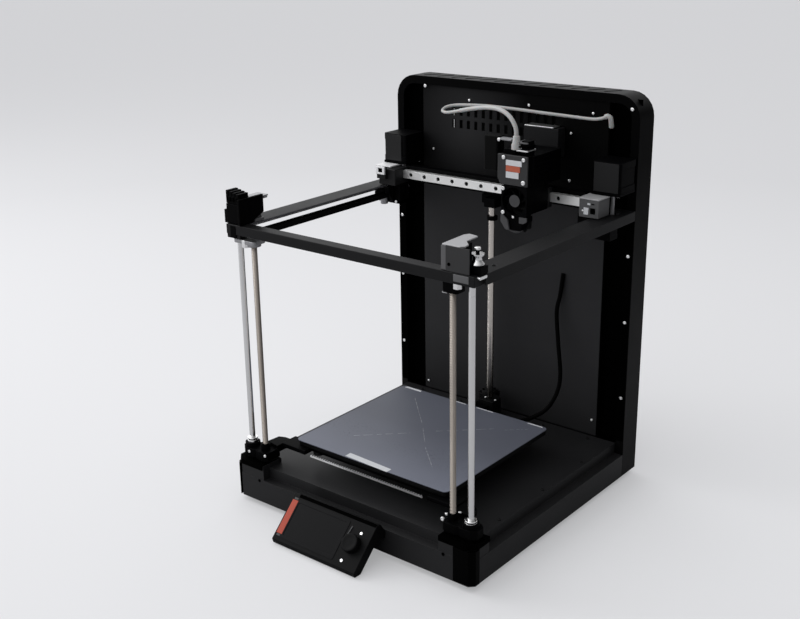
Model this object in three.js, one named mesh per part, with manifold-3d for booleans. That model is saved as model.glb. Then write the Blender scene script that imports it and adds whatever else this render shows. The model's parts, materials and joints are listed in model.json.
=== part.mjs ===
// A desktop 3-D printer of the core-XY kind, shown with its side panels, lid and door taken off.
// Millimetres, +Z up. Front at -Y, electronics at +Y. The part's origin is the centre of the whole
// printer's outline on the floor, display included. The builders below measure Y from a line 201 mm
// in front of the rear cover instead, and the printer group is moved to make up the difference.
//
// The bed rises on three lead screws; the X beam slides along Y under the two side beams; the
// toolhead slides along the rail on that beam. The rest position has the bed low and the beam back.

import * as THREE from 'three';
import { mergeVertices } from 'three/addons/utils/BufferGeometryUtils.js';
import Module from 'manifold-3d';

const wasm = await Module();
wasm.setup();

// ---------------------------------------------------------------- driving dimensions

const gap = 0.3;                 // clearance between pieces that touch
const sheet = 1.6;               // thickness of the folded sheet metal

const halfWidth = 201.5;         // half of the footprint along X
const frontY = -205;             // front face of the base
const backY = 201;               // outside of the rear cover
const footHeight = 8;
const cornerCut = 9;             // flat cut across the base's front corners
const displayFrontY = -267;      // the display's lower edge, which stands furthest forward
const rearBoxFrontY = 162;       // front lip of the electronics box
const rearBoxTop = 550;
const rearBoxCorner = 32;        // radius of its top corners

const wallTop = 42;              // top of the base's outer wall, where the panels stand
const ledge = 13;                // how far the deck is set in behind that wall
const deckTop = 57;
const cornerTop = 63;            // top of the raised blocks around the front rods

const barBottom = 385;           // front bar of the upper frame
const barTop = 398.2;
const barFront = -199.3;
const barDepth = 16.8;
const barHalfWidth = 191;
const beamTop = barTop;          // top flange of the side beams, level with the front bar
const beamFlange = 31;
const beamThick = 2.4;           // thickness of the beams' top flange

const motorX = { left: -172, right: 180 };    // belt motors, on top of the beams' rear ends
const motorShaftY = 139;

const screwX = { left: -163, right: 158 };    // front lead screws
const smoothX = { left: -188, right: 185 };   // front smooth rods
const frontRodY = -185;
const rearScrew = { x: -16, y: 142 };
const rearRod = { x: 0, y: 122 };
const screwRadius = 4;
const smoothRadius = 4;
const frontRodTop = 370.5;
const rearRodTop = 383.5;

const sheetSize = { x: 258, y: 237, z: 1 };
const sheetCentreY = -41;
const bedTopRest = 94.6;         // upper face of the print sheet at rest

const railFaceY = 108.7;         // front face of the X rail at rest
const railZ = 414;               // centre of the X rail
const railSize = 12;
const railThick = 8;
const railHalfLength = 149.5;
const railPitch = 25;            // distance between the rail's screws
const toolheadX = 80;            // centre of the toolhead at rest
const nozzleTip = 368;

// ---------------------------------------------------------------- materials

function material(colour, roughness, metalness) {
  return () => new THREE.MeshStandardMaterial({ color: colour, roughness, metalness });
}

const powderCoat = material(0x1b1b1d, 0.55, 0.3);
const greyPanel = material(0x2a2a2d, 0.6, 0.3);
const blackPlastic = material(0x141416, 0.5, 0);
const polishedSteel = material(0xd8d8d8, 0.2, 1);
const screwSteel = material(0x8f857a, 0.35, 1);
const darkSteel = material(0x55565a, 0.45, 0.8);
const aluminium = material(0xa9abaf, 0.4, 0.9);
const springSteelSheet = material(0x6f7687, 0.6, 0.4);
const rubber = material(0x101010, 0.9, 0);
const boardGreen = material(0x1d4a33, 0.6, 0.1);
const screenGlass = material(0x08090b, 0.12, 0);
const brass = material(0xb98d3e, 0.35, 1);
const palePlastic = material(0xb4b4b2, 0.45, 0);

// ---------------------------------------------------------------- shapes

function block(x0, x1, y0, y1, z0, z1) {
  const geometry = new THREE.BoxGeometry(x1 - x0, y1 - y0, z1 - z0);
  geometry.translate((x0 + x1) / 2, (y0 + y1) / 2, (z0 + z1) / 2);
  return geometry;
}

// A round bar along 'x', 'y' or 'z'; centre holds the two other coordinates in x, y, z order.
function bar(axis, radius, centre, from, to, segments = 20) {
  const geometry = new THREE.CylinderGeometry(radius, radius, to - from, segments);
  const middle = (from + to) / 2;
  if (axis === 'x') {
    geometry.rotateZ(Math.PI / 2);
    geometry.translate(middle, centre[0], centre[1]);
  } else if (axis === 'y') {
    geometry.translate(centre[0], middle, centre[1]);
  } else {
    geometry.rotateX(Math.PI / 2);
    geometry.translate(centre[0], centre[1], middle);
  }
  return geometry;
}

// A flat outline of [x, y] points pushed up from z0 to z1.
function prismUp(points, z0, z1) {
  const shape = new THREE.Shape(points.map(([x, y]) => new THREE.Vector2(x, y)));
  const geometry = new THREE.ExtrudeGeometry(shape, { depth: z1 - z0, bevelEnabled: false });
  geometry.translate(0, 0, z0);
  return geometry;
}

// A flat outline of [x, z] points pushed back from y0 to y1.
function prismBack(points, y0, y1) {
  const geometry = prismUp(points.map(([x, z]) => [x, -z]), 0, y1 - y0);
  geometry.rotateX(-Math.PI / 2);
  geometry.translate(0, y0, 0);
  return geometry;
}

// A flat outline of [y, z] points pushed sideways from x0 to x1.
function prismAcross(points, x0, x1) {
  const geometry = prismUp(points, 0, x1 - x0);
  geometry.applyMatrix4(new THREE.Matrix4().makeBasis(
    new THREE.Vector3(0, 1, 0), new THREE.Vector3(0, 0, 1), new THREE.Vector3(1, 0, 0)));
  geometry.translate(x0, 0, 0);
  return geometry;
}

// A shape turned about a vertical axis through centre, from [radius, z] points.
function turned(points, centre, segments = 24) {
  const profile = points.map(([r, z]) => new THREE.Vector2(r, z));
  const geometry = new THREE.LatheGeometry(profile, segments);
  geometry.rotateX(Math.PI / 2);
  geometry.translate(centre[0], centre[1], 0);
  return geometry;
}

// Outline of a rectangle in two coordinates, with its own corner radius at each end.
function roundedOutline(x0, x1, z0, z1, lowRadius, highRadius, steps = 6) {
  const points = [];
  const corners = [
    [x1, z0, -1, 1, lowRadius, -90],
    [x1, z1, -1, -1, highRadius, 0],
    [x0, z1, 1, -1, highRadius, 90],
    [x0, z0, 1, 1, lowRadius, 180],
  ];
  for (const [x, z, sx, sz, radius, start] of corners) {
    const count = radius > 0 ? steps : 0;
    for (let i = 0; i <= count; i += 1) {
      const angle = THREE.MathUtils.degToRad(start + (count ? (90 * i) / count : 0));
      points.push([
        x + sx * radius + radius * Math.cos(angle),
        z + sz * radius + radius * Math.sin(angle),
      ]);
    }
  }
  return points;
}

// ---------------------------------------------------------------- solids

function solid(geometry) {
  const bare = geometry.clone();
  bare.deleteAttribute('normal');
  bare.deleteAttribute('uv');
  const merged = mergeVertices(bare, 1e-4);
  return new wasm.Manifold(new wasm.Mesh({
    numProp: 3,
    vertProperties: new Float32Array(merged.attributes.position.array),
    triVerts: new Uint32Array(merged.index.array),
  }));
}

function geometryOf(manifold) {
  const mesh = manifold.getMesh();
  const geometry = new THREE.BufferGeometry();
  geometry.setAttribute('position', new THREE.BufferAttribute(mesh.vertProperties, 3));
  geometry.setIndex(new THREE.BufferAttribute(mesh.triVerts, 1));
  geometry.computeVertexNormals();
  return geometry;
}

function shaped(added, removed = []) {
  let result = solid(added[0]);
  for (const piece of added.slice(1)) {
    result = result.add(solid(piece));
  }
  for (const piece of removed) {
    result = result.subtract(solid(piece));
  }
  return geometryOf(result);
}

const printer = new THREE.Group();
const bed = new THREE.Group();
const gantry = new THREE.Group();
const toolhead = new THREE.Group();
printer.position.y = -(displayFrontY + backY) / 2;
printer.add(bed, gantry);
gantry.add(toolhead);
bed.position.z = bedTopRest;
gantry.position.set(0, railFaceY, railZ);
toolhead.position.x = toolheadX;

function addPart(parent, name, geometry, finish) {
  const mesh = new THREE.Mesh(geometry, finish());
  mesh.name = name;
  parent.add(mesh);
  return mesh;
}

const sides = [['left', -1], ['right', 1]];

// x0..x1 measured outwards from the middle plane, mirrored for the left side
function sideBlock(side, x0, x1, y0, y1, z0, z1) {
  return side > 0 ? block(x0, x1, y0, y1, z0, z1) : block(-x1, -x0, y0, y1, z0, z1);
}

// ---------------------------------------------------------------- base

// Outline of a rectangle that is even about X, with both of its front corners cut off.
function cutFrontCorners(half, front, back) {
  return [[-half + cornerCut, front], [half - cornerCut, front], [half, front + cornerCut],
    [half, back], [-half, back], [-half, front + cornerCut]];
}

function buildBase() {
  const backEdge = rearBoxFrontY - gap;
  const inner = sheet;
  const deckX = halfWidth - ledge;
  const deckFront = frontY + ledge;
  const outerWall = prismUp(
    cutFrontCorners(halfWidth, frontY, backEdge), footHeight, wallTop);
  const deck = block(-deckX, deckX, deckFront, backEdge, wallTop - 1, deckTop);
  const blockX = halfWidth - 0.5;
  const blockFront = frontY + 0.5;
  const cornerBlocks = sides.map(([, side]) => prismUp(
    [[side * 150, blockFront], [side * (blockX - cornerCut), blockFront],
      [side * blockX, blockFront + cornerCut], [side * blockX, -169], [side * 150, -169]],
    wallTop - 1, cornerTop));
  const hollowLow = prismUp(
    cutFrontCorners(halfWidth - inner, frontY + inner, backEdge - inner),
    footHeight - 1, wallTop - inner);
  const hollowHigh = block(
    -deckX + inner, deckX - inner, deckFront + inner, backEdge - inner, footHeight, deckTop - inner);
  const holes = [];
  for (const [name] of sides) {
    holes.push(bar('z', screwRadius + 1.5, [screwX[name], frontRodY], footHeight, cornerTop + 1, 16));
    holes.push(bar('z', smoothRadius + gap, [smoothX[name], frontRodY], footHeight, cornerTop + 1));
  }
  holes.push(bar('z', screwRadius + 1.5, [rearScrew.x, rearScrew.y], footHeight, cornerTop + 1, 16));
  holes.push(bar('z', smoothRadius + gap, [rearRod.x, rearRod.y], footHeight, cornerTop + 1));
  addPart(printer, 'base_shell',
    shaped([outerWall, deck, ...cornerBlocks], [hollowLow, hollowHigh, ...holes]), powderCoat);

  const plateX = halfWidth - sheet - 1;
  addPart(printer, 'bottom_plate', prismUp(
    cutFrontCorners(plateX, frontY + 2.4, backEdge - 2.4), footHeight, footHeight + 2), powderCoat);

  const footX = 178;
  for (const [name, y] of [['front', -178], ['rear', 181]]) {
    for (const [sideName, side] of sides) {
      const foot = turned([[0, 0], [9, 0], [11, 2], [11, footHeight - gap], [0, footHeight - gap]],
        [side * footX, y], 20);
      addPart(printer, `foot_${name}_${sideName}`, foot, rubber);
    }
  }
}

function buildDisplay() {
  // side outline of the tilted housing: its face leans back at about 45 degrees
  const back = frontY - gap;
  const outline = [
    [displayFrontY, 8], [displayFrontY + 2, 1.5], [-254, 1.2], [-224, 30], [back, 30],
    [back, 41], [-214, 53.5], [-220.5, 54],
  ];
  const left = -75;
  const right = 67;
  const face = new THREE.Vector2(outline[7][0] - outline[0][0], outline[7][1] - outline[0][1]);
  const lean = Math.atan2(face.y, face.x);
  const middleY = (outline[0][0] + outline[7][0]) / 2;
  const middleZ = (outline[0][1] + outline[7][1]) / 2;

  function onFace(geometry, across, along, out) {
    geometry.rotateX(lean);
    geometry.translate(
      across,
      middleY + along * Math.cos(lean) - out * Math.sin(lean),
      middleZ + along * Math.sin(lean) + out * Math.cos(lean));
    return geometry;
  }

  const housing = prismAcross(outline, left, right);
  const windowCut = onFace(new THREE.BoxGeometry(88, 50, 3), -19, 0, 0);
  const shaftHole = onFace(bar('z', 4.3, [0, 0], -8, 2, 20), 45, 0, 0);
  addPart(printer, 'display_housing', shaped([housing], [windowCut, shaftHole]), blackPlastic);
  addPart(printer, 'display_screen',
    onFace(new THREE.BoxGeometry(87.2, 49.2, 1.1), -19, 0, -0.6), screenGlass);
  const knob = shaped([
    bar('z', 12.5, [0, 0], 0.6, 9, 30),
    bar('z', 3.6, [0, 0], -7, 1.5, 16),
  ]);
  addPart(printer, 'display_knob', onFace(knob, 45, 0, 0), blackPlastic);
}

// ---------------------------------------------------------------- electronics box

function buildRearBox() {
  const low = footHeight;
  const rim = sheet;
  const outline = (inset, bottom) => roundedOutline(
    -halfWidth + inset, halfWidth - inset, bottom, rearBoxTop - inset,
    0, Math.max(rearBoxCorner - inset, 6));
  const shellBack = backY - sheet - gap;
  const body = prismBack(outline(0, low), rearBoxFrontY, shellBack);
  const inside = prismBack(outline(rim, low + rim), rearBoxFrontY + rim, shellBack + 1);
  const opening = prismBack(outline(12, deckTop), rearBoxFrontY - 1, rearBoxFrontY + rim + 1);
  const topSlots = [];
  for (let i = 0; i < 13; i += 1) {
    const slot = new THREE.BoxGeometry(5, 26, 6);
    slot.rotateZ(-0.6);
    slot.translate(-150 + 25 * i, (rearBoxFrontY + backY) / 2, rearBoxTop);
    topSlots.push(slot);
  }
  addPart(printer, 'rear_shell', shaped([body], [inside, opening, ...topSlots]), powderCoat);

  const inletHole = block(-130.5, -79.5, shellBack, backY + 1, 25.5, 74.5);
  const rearSlots = [];
  for (let i = 0; i < 12; i += 1) {
    rearSlots.push(block(-150 + 25 * i, -145 + 25 * i, shellBack, backY + 1, 440, 500));
  }
  addPart(printer, 'rear_cover',
    shaped([prismBack(outline(0, low), shellBack + gap, backY)], [inletHole, ...rearSlots]), powderCoat);

  buildInnerPanel(outline);
  buildElectronics(shellBack);
}

function buildInnerPanel(outline) {
  const faceX = 155;             // the raised middle of the panel
  const edgeX = 197;
  const faceY = rearBoxFrontY + 3;
  const backFlangeY = faceY + 13;
  const t = sheet;
  const section = prismUp([
    [-edgeX, backFlangeY], [-faceX, backFlangeY], [-faceX, faceY], [faceX, faceY],
    [faceX, backFlangeY], [edgeX, backFlangeY], [edgeX, backFlangeY + t], [faceX - t, backFlangeY + t],
    [faceX - t, faceY + t], [-faceX + t, faceY + t], [-faceX + t, backFlangeY + t],
    [-edgeX, backFlangeY + t],
  ], deckTop + gap, rearBoxTop - 4);
  const envelope = prismBack(outline(4, deckTop - 10), faceY - 5, backFlangeY + 10);
  const slots = [];
  for (let i = 0; i < 14; i += 1) {
    const x = -99 + 13 * i;
    slots.push(block(x - 2.6, x + 2.6, faceY - 1, faceY + t + 1, 497, 513));
    slots.push(block(x - 2.6, x + 2.6, faceY - 1, faceY + t + 1, 479, 491));
  }
  let panel = solid(section).intersect(solid(envelope));
  for (const slot of slots) {
    panel = panel.subtract(solid(slot));
  }
  addPart(printer, 'inner_panel', geometryOf(panel), greyPanel);
  addPart(printer, 'exhaust_duct', prismAcross([
    [faceY - gap, 459], [faceY - 8, 459], [faceY - 18.5, 468], [faceY - 18.5, 498], [faceY - gap, 498],
  ], 34, 89), greyPanel);
}

function buildElectronics(shellBack) {
  const panelBack = rearBoxFrontY + 3 + sheet;
  addPart(printer, 'power_supply',
    block(-148, -40, panelBack + 1.5, shellBack - 1, 90, 300), aluminium);
  const board = [block(20, 148, panelBack + 8, panelBack + 9.6, 120, 230)];
  for (let i = 0; i < 5; i += 1) {
    board.push(block(28 + 22 * i, 42 + 22 * i, panelBack + 9, panelBack + 18, 195, 210));
  }
  board.push(block(30, 60, panelBack + 9, panelBack + 14, 140, 170));
  addPart(printer, 'control_board', shaped(board), boardGreen);
  const socketCup = block(-130, -80, backY - 24, backY, 26, 74);
  const plugHollow = block(-116, -94, backY - 16, backY + 1, 31, 45);
  const rockerHollow = block(-119, -91, backY - 14, backY + 1, 53, 69);
  addPart(printer, 'power_inlet', shaped([socketCup], [plugHollow, rockerHollow]), blackPlastic);
  // the rocker pivots about the X axis; its face is a shallow V
  const rocker = prismAcross([
    [backY - 8, 57], [backY - 1.4, 54.6], [backY - 2.6, 61], [backY - 1.4, 67.4], [backY - 8, 65],
  ], -117.5, -92.5);
  addPart(printer, 'power_switch', rocker, blackPlastic);
}

// ---------------------------------------------------------------- upper frame

function buildUpperFrame() {
  const barBack = barFront + barDepth;
  const rodSockets = sides.map(([, side]) => sideBlock(
    side, 152, 198, -197, -174, frontRodTop + gap, barBottom + 1));
  addPart(printer, 'front_bar', shaped([
    block(-barHalfWidth, barHalfWidth, barFront, barBack, barBottom, barTop), ...rodSockets]), powderCoat);

  const beamFrontY = barBack + gap;
  const beamBackY = rearBoxFrontY - gap;
  const flangeInner = halfWidth - beamFlange;
  const flangeLow = beamTop - beamThick;
  const webThick = 2;
  for (const [name, side] of sides) {
    const parts = [
      sideBlock(side, flangeInner, halfWidth, beamFrontY, beamBackY, flangeLow, beamTop),
      sideBlock(side, halfWidth - webThick, halfWidth, beamFrontY, beamBackY, barBottom, beamTop),
    ];
    const shaft = motorX[name];
    const notch = block(shaft - 9, shaft + 9, motorShaftY - 9, motorShaftY + 9, barBottom + 5, beamTop + 12);
    addPart(printer, `side_beam_${name}`, shaped(parts, [notch]), powderCoat);
    addPart(printer, `y_rail_${name}`,
      sideBlock(side, 185, 194, -174, 131, flangeLow - 7, flangeLow - gap), polishedSteel);
  }

  buildCornerBrackets();
  addPart(printer, 'rod_holder_rear', shaped([
    block(-26, 10, 133, rearBoxFrontY + 3 - gap, rearRodTop + gap, 397),
    block(-9, 9, 114, 134, rearRodTop + gap, 397),
  ]), aluminium);
  buildDrives();
}

function buildCornerBrackets() {
  const bottom = barTop + gap;
  const spoolX = 192;
  const spoolLow = 409;
  const tabTop = spoolLow - 1.5;
  for (const [name, side] of sides) {
    const parts = [
      sideBlock(side, 150, 187, barFront + 1.3, -166, bottom, 429),
      sideBlock(side, 180, halfWidth - 0.5, -193, -177, bottom, tabTop),
    ];
    const idlerPocket = bar('z', 9, [side * spoolX, frontRodY], tabTop, 440, 24);
    addPart(printer, `idler_bracket_${name}`, shaped(parts, [idlerPocket]), blackPlastic);
    const spool = turned([
      [0, spoolLow], [7.2, spoolLow], [7.2, spoolLow + 2], [5.6, spoolLow + 3.3],
      [5.6, spoolLow + 12.7], [7.2, spoolLow + 14], [7.2, spoolLow + 16], [0, spoolLow + 16],
    ], [side * spoolX, frontRodY], 24);
    addPart(printer, `front_idler_${name}`, spool, polishedSteel);
  }
}

function buildDrives() {
  const half = 21;
  const motorLow = 428.6;
  const motorHigh = 469;
  const pulleyLow = 377;
  const flange = 2;
  const pulleyHigh = pulleyLow + 12;
  for (const [name] of sides) {
    const x = motorX[name];
    const y = motorShaftY;
    addPart(printer, `xy_motor_${name}`, shaped([
      block(x - half, x + half, y - half, y + half, motorLow, motorHigh),
      block(x - 16, x + 16, y + half - 1, rearBoxFrontY - gap, 436, 462),
    ]), blackPlastic);
    const pulley = shaped([
      bar('z', 2.5, [x, y], pulleyLow - 1, motorLow - 0.4, 12),
      bar('z', 7.2, [x, y], pulleyLow, pulleyLow + flange, 24),
      bar('z', 5.8, [x, y], pulleyLow + 1, pulleyHigh - 1, 20),
      bar('z', 7.2, [x, y], pulleyHigh - flange, pulleyHigh, 24),
    ]);
    addPart(printer, `xy_pulley_${name}`, pulley, aluminium);
  }
}

// ---------------------------------------------------------------- bed lift

function buildLift() {
  const floorZ = footHeight + 2 + gap;
  const motorTop = 39;
  const places = [
    ['left', screwX.left, frontRodY, smoothX.left, frontRodY, frontRodTop],
    ['right', screwX.right, frontRodY, smoothX.right, frontRodY, frontRodTop],
    ['rear', rearScrew.x, rearScrew.y, rearRod.x, rearRod.y, rearRodTop],
  ];
  const motorHalf = 14;
  for (const [name, sx, sy, rx, ry, top] of places) {
    addPart(printer, `smooth_rod_${name}`, bar('z', smoothRadius, [rx, ry], floorZ, top), polishedSteel);
    addPart(printer, `lead_screw_${name}`,
      bar('z', screwRadius, [sx, sy], motorTop + gap, top, 16), screwSteel);
    addPart(printer, `z_motor_${name}`, block(
      sx - motorHalf, sx + motorHalf, sy - motorHalf, sy + motorHalf, floorZ, motorTop), blackPlastic);
  }
}

// The bed group's origin is the upper face of the print sheet.
function buildBed() {
  const halfX = sheetSize.x / 2;
  const front = sheetCentreY - sheetSize.y / 2;
  const back = sheetCentreY + sheetSize.y / 2;
  const plate = prismUp(roundedOutline(-halfX, halfX, front, back, 7, 7, 4), -sheetSize.z, 0);
  addPart(bed, 'print_sheet', plate, springSteelSheet);
  const slabTop = -sheetSize.z - gap;
  addPart(bed, 'heatbed',
    prismUp(roundedOutline(-halfX + 1, halfX - 1, front + 2, back - 1, 6, 6, 4), slabTop - 7, slabTop),
    blackPlastic);

  const carrierTop = slabTop - 7 - gap;
  const carrierLow = carrierTop - 6;
  const carrierParts = [
    block(-118, 118, front + 6, back - 8, carrierLow, carrierTop),
    block(-149, -105, -168, -140, carrierLow, carrierTop),
    block(105, 149, -168, -140, carrierLow, carrierTop),
    block(-22, 6, back - 12, 109, carrierLow, carrierTop),
  ];
  const carrierHollow = block(-92, 92, front + 34, back - 36, carrierLow - 1, carrierTop + 1);
  addPart(bed, 'bed_carrier', shaped(carrierParts, [carrierHollow]), powderCoat);

  const nutLow = -28;
  const frontNutTop = -10;
  const rearNutTop = -3;
  for (const [name, side] of sides) {
    const arm = sideBlock(side, 149.3, 172, -176, -148, carrierLow - 6, carrierTop);
    const body = sideBlock(side, 150, 199, -197.5, -173, nutLow, frontNutTop);
    const cuts = [
      bar('z', screwRadius + 0.5, [screwX[name], frontRodY], -60, 20, 16),
      bar('z', smoothRadius + 0.4, [smoothX[name], frontRodY], -60, 20),
    ];
    addPart(bed, `bed_bracket_${name}`, shaped([body, arm], cuts), blackPlastic);
  }
  const rearBody = [
    block(-29, -3, 129, 155, nutLow, rearNutTop),
    block(-13, 13, 109.3, 135, nutLow, rearNutTop),
  ];
  const rearCuts = [
    bar('z', screwRadius + 0.5, [rearScrew.x, rearScrew.y], -60, 20, 16),
    bar('z', smoothRadius + 0.4, [rearRod.x, rearRod.y], -60, 20),
  ];
  addPart(bed, 'bed_bracket_rear', shaped(rearBody, rearCuts), blackPlastic);
}

// ---------------------------------------------------------------- gantry

// The gantry group's origin is the middle of the X rail's front face.
function buildGantry() {
  const beamFront = railThick + gap;
  addPart(gantry, 'x_beam', block(-149.5, 149.5, beamFront, beamFront + 14, -11, 11), blackPlastic);

  const screwHoles = [];
  for (let i = -5; i <= 5; i += 1) {
    const x = i * railPitch - 10.7;
    screwHoles.push(bar('y', 3, [x, 0], -1, 4.5, 12));
  }
  addPart(gantry, 'x_rail', shaped(
    [block(-railHalfLength, railHalfLength, 0, railThick, -railSize / 2, railSize / 2)], screwHoles),
  polishedSteel);

  // each carriage wraps round the inner edge of its side beam; z here counts from the rail's centre
  const flangeTop = beamTop - railZ;
  const back = 13;
  for (const [name, side] of sides) {
    const front = side < 0 ? -24 : -15.1;
    const headInner = side < 0 ? 149.8 : 157;
    const parts = [
      sideBlock(side, headInner, 180, front, back, flangeTop + 1.2, 11),
      sideBlock(side, 149.8, 160, -8, back, -44, 8),
      sideBlock(side, 149.8, 198.5, -8, back, -44, -38),
      sideBlock(side, 180.5, 198.5, -8, back - 1, -39, flangeTop - 3.4),
    ];
    const railGroove = sideBlock(side, 184.7, 194.3, -30, 20, flangeTop - 9.7, flangeTop);
    addPart(gantry, `y_carriage_${name}`, shaped(parts, [railGroove]), darkSteel);
  }
}

// ---------------------------------------------------------------- toolhead

// The toolhead group's origin is on the rail's front face, above the nozzle.
function buildToolhead() {
  const bearingFront = -5;
  const mountBack = bearingFront - gap;
  addPart(toolhead, 'x_bearing', shaped(
    [block(-22.7, 22.7, bearingFront, 4.2, -13.5, 13.5)],
    [block(-30, 30, -gap, 6, -railSize / 2 - gap, railSize / 2 + gap)]), darkSteel);

  addPart(toolhead, 'toolhead_body', shaped([
    block(-24, 25, -46.5, mountBack, 24, 63),
    block(-20, 22, -46.5, mountBack, -15, 24.5),
    block(-43, -23, -30, -12, 30, 62),
  ]), blackPlastic);

  addPart(toolhead, 'toolhead_cover', shaped(
    [prismBack([[-23.3, 34], [-13, 24], [23.4, 24], [23.4, 64], [-23.3, 64]], -58.7, -46.8)],
    [prismBack([[-21.3, 35], [-12, 26], [21.4, 26], [21.4, 62], [-21.3, 62]], -56.7, -46)]), darkSteel);

  addPart(toolhead, 'drive_gear', driveGear(), brass);

  // stepper that turns the drive gear: it sits above the X beam
  addPart(toolhead, 'extruder_motor', shaped([
    block(-21, 21, mountBack + gap, 27, 20, 62),
    bar('y', 11, [0, 41], 26, 28, 24),
  ]), blackPlastic);

  addPart(toolhead, 'fan_frame', shaped(
    [block(-17, 23, -58.7, -47, -16.5, 23.5)],
    [bar('y', 19, [3, 3.5], -60, -49, 32)]), blackPlastic);
  addPart(toolhead, 'hotend_fan', fanRotor(3, 3.5, -57.5, -50), blackPlastic);

  const tip = nozzleTip - railZ;
  addPart(toolhead, 'hotend', turned([
    [0, tip], [1, tip], [3.2, tip + 3], [3.2, tip + 6], [9, tip + 6], [9, tip + 17], [3.5, tip + 18],
    [3.5, tip + 20], [8, tip + 21], [8, tip + 30.7], [0, tip + 30.7],
  ], [0, -26], 24), brass);

  addPart(toolhead, 'cooling_duct', shaped([
    block(-20, 22, -58.7, -40, -24, -17),
    block(-20, -7, -58, -42, -40, -23),
    block(11, 21, -58, -42, -38, -23),
  ]), palePlastic);
}

function driveGear() {
  const teeth = 24;
  const points = [];
  for (let i = 0; i < teeth; i += 1) {
    const middle = (2 * Math.PI * i) / teeth;
    for (const [turn, radius] of [[-0.07, 12.2], [-0.035, 14], [0.035, 14], [0.07, 12.2]]) {
      points.push([radius * Math.cos(middle + turn), 43 + radius * Math.sin(middle + turn)]);
    }
  }
  return prismBack(points, -55, -48);
}

function fanRotor(x, z, front, back) {
  const blades = [];
  for (let i = 0; i < 7; i += 1) {
    const blade = new THREE.BoxGeometry(13, back - front, 1.2);
    blade.translate(11.5, 0, 0);
    blade.rotateY((2 * Math.PI * i) / 7);
    blade.translate(x, (front + back) / 2, z);
    blades.push(blade);
  }
  return shaped([bar('y', 8.7, [x, z], front, back, 24), ...blades]);
}

// ---------------------------------------------------------------- filament tube

// The tube runs from the toolhead up in a loop to the elbow on the right of the rear panel.
function buildTube() {
  const stations = [
    [toolheadX - 1, 66, 479], [toolheadX - 2, 67, 500], [64, 72, 520], [36, 80, 530], [-16, 96, 522],
    [-64, 112, 511], [-84, 124, 511], [-72, 136, 517], [-20, 141, 520], [60, 147, 518], [125, 150, 516],
    [150, 151, 518], [160, 153, 520], [163, 157, 514], [162, 160, 505],
  ];
  const path = new THREE.CatmullRomCurve3(stations.map((p) => new THREE.Vector3(...p)));
  const ring = new THREE.Shape();
  ring.absarc(0, 0, 3, 0, Math.PI * 2, false);
  const tube = new THREE.ExtrudeGeometry(ring, { steps: 44, curveSegments: 5, extrudePath: path });
  addPart(printer, 'filament_tube', tube, palePlastic);
}

buildBase();
buildDisplay();
buildRearBox();
buildUpperFrame();
buildLift();
buildBed();
buildGantry();
buildToolhead();
buildTube();

const part = new THREE.Group();
part.add(printer);
export default part;
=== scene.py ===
"""The looks of a desktop core-XY 3-D printer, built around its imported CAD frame.

Lengths are in millimetres until a mesh is finished. They count from a point on the floor in the
middle of the printer, 201 mm in front of the rear cover: +X right, +Y to the rear, +Z up.
"""
import json
import math
import random

import bmesh
import bpy
from mathutils import Matrix, Vector
from mathutils.geometry import tessellate_polygon


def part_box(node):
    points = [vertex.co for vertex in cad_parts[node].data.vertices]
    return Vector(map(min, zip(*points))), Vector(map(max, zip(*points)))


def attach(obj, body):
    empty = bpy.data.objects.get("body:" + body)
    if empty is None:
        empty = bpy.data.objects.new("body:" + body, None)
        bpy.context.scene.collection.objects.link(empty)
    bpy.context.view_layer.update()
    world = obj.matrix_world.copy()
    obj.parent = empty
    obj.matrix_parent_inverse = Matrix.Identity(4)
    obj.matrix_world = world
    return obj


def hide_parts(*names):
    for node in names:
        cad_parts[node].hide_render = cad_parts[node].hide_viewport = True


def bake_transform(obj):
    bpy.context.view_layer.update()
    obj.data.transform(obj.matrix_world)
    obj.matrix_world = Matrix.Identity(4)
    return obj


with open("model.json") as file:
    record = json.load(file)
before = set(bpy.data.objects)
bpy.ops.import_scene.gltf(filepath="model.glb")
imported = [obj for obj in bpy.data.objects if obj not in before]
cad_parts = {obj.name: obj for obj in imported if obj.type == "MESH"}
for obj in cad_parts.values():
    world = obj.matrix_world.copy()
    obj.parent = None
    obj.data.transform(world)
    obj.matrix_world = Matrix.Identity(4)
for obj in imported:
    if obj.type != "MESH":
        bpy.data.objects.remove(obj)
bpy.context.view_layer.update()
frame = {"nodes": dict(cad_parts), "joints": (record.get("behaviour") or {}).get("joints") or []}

MM = 0.001
SHARP = math.radians(28)        # edges that turn by more than this are rounded
DECK = 57                       # height of the base's top


def packed_box(node):
    """Lowest and highest corner of a CAD node in millimetres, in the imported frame."""
    low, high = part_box(node)
    return Vector(low) / MM, Vector(high) / MM


COVER_BACK = 201                # the rear cover's outside lies this far behind the origin
COVER_HIGH = packed_box("rear_cover")[1]
CENTRE = Vector((0, COVER_HIGH.y - COVER_BACK, 0))


def box(node):
    """Lowest and highest corner of a CAD node, counted from the middle of the printer."""
    low, high = packed_box(node)
    return low - CENTRE, high - CENTRE


def middle(node):
    """X and Y of the middle of a node's box."""
    low, high = box(node)
    return (low.x + high.x) / 2, (low.y + high.y) / 2


# ------------------------------------------------------------------ finishes

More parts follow.
